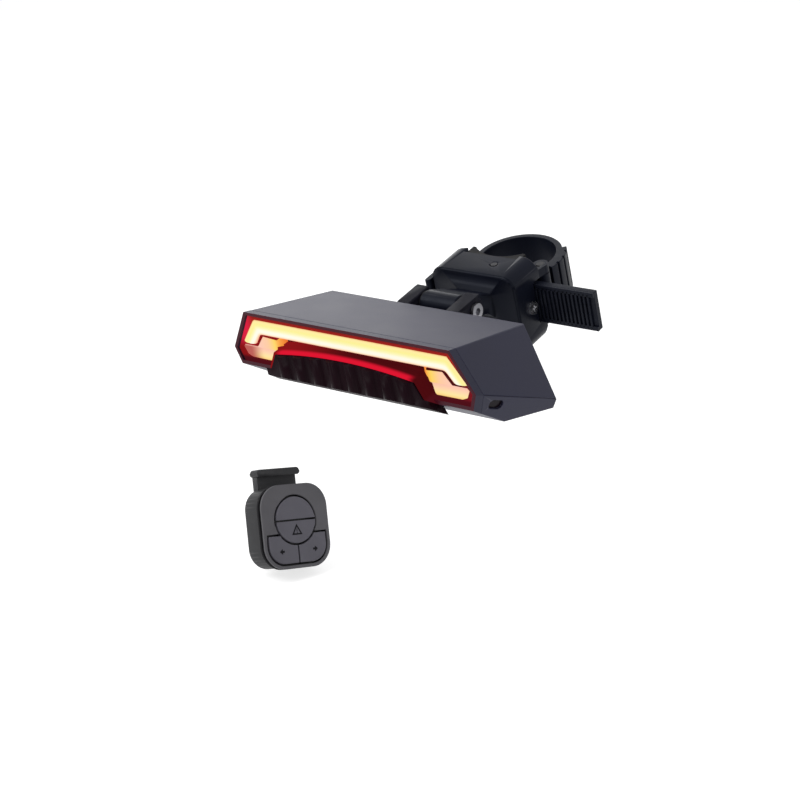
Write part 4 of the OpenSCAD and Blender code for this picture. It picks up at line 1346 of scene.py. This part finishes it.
@dataclass
class Remote(Assembly):
    """The handlebar remote: shells, buttons with their signs, and what lies inside."""

    rounded: Rounded = listed(
        remote_face=("remote", 0.45),
        remote_case=("case", 0.5),
        **{f"remote_{key}_button": ("keys", 0.45) for key in ("upper", "hazard", "left", "right")},
    )
    plain: Plain = listed(
        case=["remote_cell_door"], dark_board=["remote_board"], steel=["remote_switches", "remote_cell"]
    )
    face: Axes = REMOTE_AXES
    key_top: float = 0.3
    ink: float = 0.05
    ink_root: float = 0.1
    key_mid: Point = (8.5, -10.4)
    triangle_mid: Point = (0.0, -2.2)
    triangle_side: float = 5.4
    triangle_line: float = 0.62
    stroke: tuple[Point, Point] = ((0.2, 1.0), (0.14, -0.25))
    dot: tuple[Point, Point] = ((0.2, -0.5), (0.2, -0.85))
    arrow_run: Spot = (-1.1, -0.1, 1.4)
    arrow_half: Point = (0.45, 1.25)

    def build(self, finishes: Finishes) -> None:
        """Makes the remote's pieces and the signs on its buttons.

        Args:
            finishes: Materials by name.
        """
        super().build(finishes)
        signs = {
            "remote_hazard_button": self.triangle(),
            "remote_left_button": [self.arrow(-1)],
            "remote_right_button": [self.arrow(1)],
        }
        for button, outlines in signs.items():
            sign = mesh_piece(button + "_sign", self.print_mesh(outlines), finishes["ink"])
            seat(sign, button)

    def arrow(self, side: int) -> list[Point]:
        """Gives a small arrow's outline.

        Args:
            side: -1 for the left key, 1 for the right key.

        Returns:
            The outline's points.
        """
        (x, y), (tail, neck, tip), (thin, wide) = self.key_mid, self.arrow_run, self.arrow_half
        upper = [(tail, thin), (neck, thin), (neck, wide)]
        shape = [*upper, (tip, 0.0), *((dx, -dy) for dx, dy in reversed(upper))]
        return [(side * (x + dx), y + dy) for dx, dy in shape]

    def triangle(self) -> list[list[Point]]:
        """Gives the outlines of the warning triangle: three bars, a stroke and a dot.

        Returns:
            One outline for each piece of the sign.
        """
        x, y = self.triangle_mid
        radius = self.triangle_side / math.sqrt(3)
        corners = [math.radians(a) for a in (90, 210, 330)]
        outer = [(x + radius * math.cos(a), y + radius * math.sin(a)) for a in corners]
        small = 1 - 2 * self.triangle_line / radius
        inner = [(x + (px - x) * small, y + (py - y) * small) for px, py in outer]
        bars = [[outer[i], outer[(i + 1) % 3], inner[(i + 1) % 3], inner[i]] for i in range(3)]
        marks = [
            [(x - head, y + high), (x - foot, y + low), (x + foot, y + low), (x + head, y + high)]
            for (head, high), (foot, low) in (self.stroke, self.dot)
        ]
        return [*bars, *marks]

    def print_mesh(self, outlines: Sequence[Sequence[Point]]) -> Mesh:
        """Builds thin printed shapes on the face of a button.

        Args:
            outlines: Outlines in the plane of the remote's face.

        Returns:
            The mesh.
        """
        mesh = bpy.data.meshes.new("sign")
        with editing(mesh) as work:
            for outline in outlines:
                top, low = (
                    [work.verts.new(self.face.at(u, v, self.key_top + rise)) for u, v in outline]
                    for rise in (self.ink, -self.ink_root)
                )
                work.faces.new(top)
                work.faces.new(list(reversed(low)))
                for i in range(len(top)):
                    j = (i + 1) % len(top)
                    work.faces.new((top[i], low[i], low[j], top[j]))
            bmesh.ops.recalc_face_normals(work, faces=work.faces)
        return mesh


# Studio


@dataclass(frozen=True)
class Softbox:
    """A square area lamp."""

    name: str
    place: Spot
    aim: Spot
    size: float
    power: float

    def build(self) -> None:
        """Hangs the lamp and turns it to its aim."""
        data = bpy.data.lights.new(self.name, "AREA")
        data.size, data.energy = self.size, self.power
        lamp = bpy.data.objects.new(self.name, data)
        lamp.location = self.place
        lamp.rotation_euler = (Vector(self.aim) - Vector(self.place)).to_track_quat("-Z", "Y").to_euler()
        bpy.context.scene.collection.objects.link(lamp)


@dataclass
class Studio:
    """Floor, white surroundings, soft lamps and the camera."""

    floor_gap: float = 0.0008
    floor_half: float = 6.0
    sensor: float = 36.0
    clip: Point = (0.05, 20.0)
    pixels: float = 800.0
    focal_pixels: float = 1930.64
    eye: Spot = (0.36914, -0.55188, 0.14911)
    forward: Spot = (-0.58352524, 0.76137592, -0.28249779)
    right: Spot = (0.7945689, 0.60715439, -0.00487888)
    up: Spot = (-0.16780511, 0.22731091, 0.95925554)
    world_light: float = 0.42
    floor_tone: float = 0.7
    boxes: tuple[Softbox, ...] = (
        Softbox("key", (-0.45, -0.75, 0.85), (0, -0.06, -0.03), 0.7, 6.5),
        Softbox("rear", (-0.95, 0.65, 0.42), (-0.05, -0.06, -0.02), 0.7, 2.3),
        Softbox("side", (0.95, -0.25, 0.35), (0, -0.06, -0.03), 0.6, 1.2),
    )

    def build(self) -> None:
        """Builds the whole studio."""
        scene = bpy.context.scene
        scene.view_settings.view_transform = "Standard"
        self.surroundings(scene)
        self.floor()
        for box in self.boxes:
            box.build()
        self.camera(scene)

    def blend(self, pen: Sketch, unseen: Node, seen: Node) -> NodeSocket:
        """Blends two shaders: one for light that spreads, one for what the camera sees or sees mirrored.

        Args:
            pen: The tree's sketch.
            unseen: The shader for light that spreads.
            seen: The shader that is seen, directly, in a mirror or through something clear.

        Returns:
            The blend's socket.
        """
        path = pen.add("ShaderNodeLightPath").outputs
        straight = pen.maths("MAXIMUM", path["Is Camera Ray"], path["Is Glossy Ray"])
        mask = pen.maths("MAXIMUM", straight, path["Is Transmission Ray"])
        made = pen.add("ShaderNodeMixShader", in_0=mask, in_1=unseen.outputs[0], in_2=seen.outputs[0])
        return made.outputs[0]

    def surroundings(self, scene: bpy.types.Scene) -> None:
        """Makes the white surroundings.

        Args:
            scene: The scene.
        """
        world = bpy.data.worlds.new("studio")
        scene.world = world
        pen = blank(world)
        light = pen.add("ShaderNodeBackground", in_0=(1, 1, 1, 1), in_1=self.world_light)
        white = pen.add("ShaderNodeBackground", in_0=(1, 1, 1, 1), in_1=1.0)
        pen.add("ShaderNodeOutputWorld", in_0=self.blend(pen, light, white))

    def floor(self) -> None:
        """Lays the pale floor, which keeps the object's soft shadow."""
        mesh = bpy.data.meshes.new("floor")
        with editing(mesh) as work:
            bmesh.ops.create_grid(work, x_segments=1, y_segments=1, size=self.floor_half)
            bmesh.ops.translate(work, verts=work.verts, vec=(0, 0, CAD_BOX[0][2] - self.floor_gap))
        material = bpy.data.materials.new("pale_floor")
        pen = blank(material)
        matt = pen.add("ShaderNodeBsdfDiffuse", in_0=(*[self.floor_tone] * 3, 1))
        lift = pen.add("ShaderNodeEmission", in_0=(1, 1, 1, 1), in_1=1.0 - self.floor_tone * self.world_light)
        shown = pen.add("ShaderNodeAddShader", in_0=matt.outputs[0], in_1=lift.outputs[0])
        pen.add("ShaderNodeOutputMaterial", in_0=self.blend(pen, matt, shown))
        mesh_piece("floor", mesh, material)

    def camera(self, scene: bpy.types.Scene) -> None:
        """Sets up the camera where the photograph was taken from.

        Args:
            scene: The scene.
        """
        data = bpy.data.cameras.new("camera")
        data.sensor_width = self.sensor
        data.lens = self.sensor * self.focal_pixels / self.pixels
        data.clip_start, data.clip_end = self.clip
        camera = bpy.data.objects.new("camera", data)
        turned = Matrix((self.right, self.up, [-v for v in self.forward])).transposed()
        camera.matrix_world = Matrix.Translation(self.eye) @ turned.to_4x4()
        scene.collection.objects.link(camera)
        scene.camera = camera


def finishes() -> Finishes:
    """Builds every finish once.

    Returns:
        Materials by short name.
    """
    Bench.effects = SharedEffects()
    shell = {"colour": (0.0215, 0.0225, 0.046), "roughness": 0.44, "grain": 3200.0, "rub": 0.0}
    even = {"uneven": 0.03, "vary": 0.05}
    made = {
        "bracket": Moulded(
            "bracket_black", (0.006, 0.0072, 0.014), 0.36, rub=0.2, specular=0.10, tint=(0.80, 0.86, 1.0)
        ),
        "fork": Moulded("fork_black", (0.009, 0.009, 0.015), 0.5, rub=0.2, specular=0.05),
        "rubber": Moulded("soft_black", (0.014, 0.014, 0.015), 0.75, grain=1500.0, rub=0.2),
        "housing": Moulded("housing_grey", **shell, **even, tint=(0.92, 0.87, 1.0)),
        "bezel": Moulded(
            "bezel_black", **shell, **even, specular=0.16, tint=(0.93, 0.89, 1.0),
            # Band of painted red light on the bezel's front: a dark red colour and a painted glow from the
            # lit lens beside it.
            band=PaintedBand(Face.LAMP, -0.14, 9.0, (0.010, 0.002, 0.005), (0.040, 0.0015, 0.005)),
        ),
        # The reflector: near black with a red tint, and a painted red glow for the lamp's red light falling
        # in it.
        "shade": Moulded(
            "shade_black", (0.012, 0.003, 0.004), 0.35, grain=900.0, strength=0.05, rub=0.1, specular=0.1,
            glow=(0.035, 0.002, 0.003),
        ),
        "window": Moulded(
            "window_dark", (0.010, 0.006, 0.010), 0.2, grain=500.0, strength=0.03, rub=0.1, specular=0.06
        ),
        # Grip: black, with a red tint that is painted red light from the lens.
        "grip": Moulded("grip_black", (0.010, 0.0022, 0.005), 0.42, grain=2000.0, rub=0.1, specular=0.04),
        "remote": Moulded(
            "remote_grey", (0.130, 0.127, 0.139), 0.50, strength=0.2, rub=0.0, vary=0.08,
            # Band of painted shade: the seam between face and case and the face's side, darkened where shade
            # falls.
            band=PaintedBand(Face.REMOTE, -9.0, -0.9, (0.010, 0.010, 0.012)),
        ),
        "case": Moulded("case_grey", (0.044, 0.044, 0.047), 0.50),
        "keys": Moulded("key_grey", (0.135, 0.131, 0.155), 0.46, rub=0.0, vary=0.08),
        "ink": Moulded("sign_dark", (0.006, 0.006, 0.008), 0.6, rub=0.0, specular=0.1),
        "chip": Moulded("chip_red", (0.45, 0.01, 0.01), 0.2, grain=900.0, strength=0.05),
        "wrap": Moulded("cell_wrap", (0.05, 0.12, 0.35), 0.3, grain=600.0, strength=0.05),
        "steel": Plated("plated_steel", (0.72, 0.72, 0.74), 0.18),
        "bolt": Plated("dull_steel", (0.36, 0.36, 0.39), 0.28),
        "oxide": Plated("black_oxide", (0.035, 0.035, 0.04), 0.32),
        "brass": Plated("turned_brass", (0.72, 0.50, 0.20), 0.22),
        "board": BoardMask("board_green", (0.012, 0.09, 0.045)),
        "dark_board": BoardMask("board_black", (0.006, 0.006, 0.007)),
        "lens": ClearRed("clear_red", (0.025, 0.001, 0.002)),
        "bar": LitGuide("bar_light", Glow.BAR),
        "arrow": LitGuide("arrow_light", Glow.ARROW),
    }
    return {name: finish.material() for name, finish in made.items()}


def main() -> None:
    """Builds the studio and each group of pieces."""
    logging.basicConfig(level=logging.INFO, format="%(message)s")
    Studio().build()
    materials = finishes()
    for group in (Clamp(), TiltHinge(), Housing(), Front(), Remote()):
        log.info("building %s", type(group).__name__)
        group.build(materials)


if __name__ == "__main__":
    main()
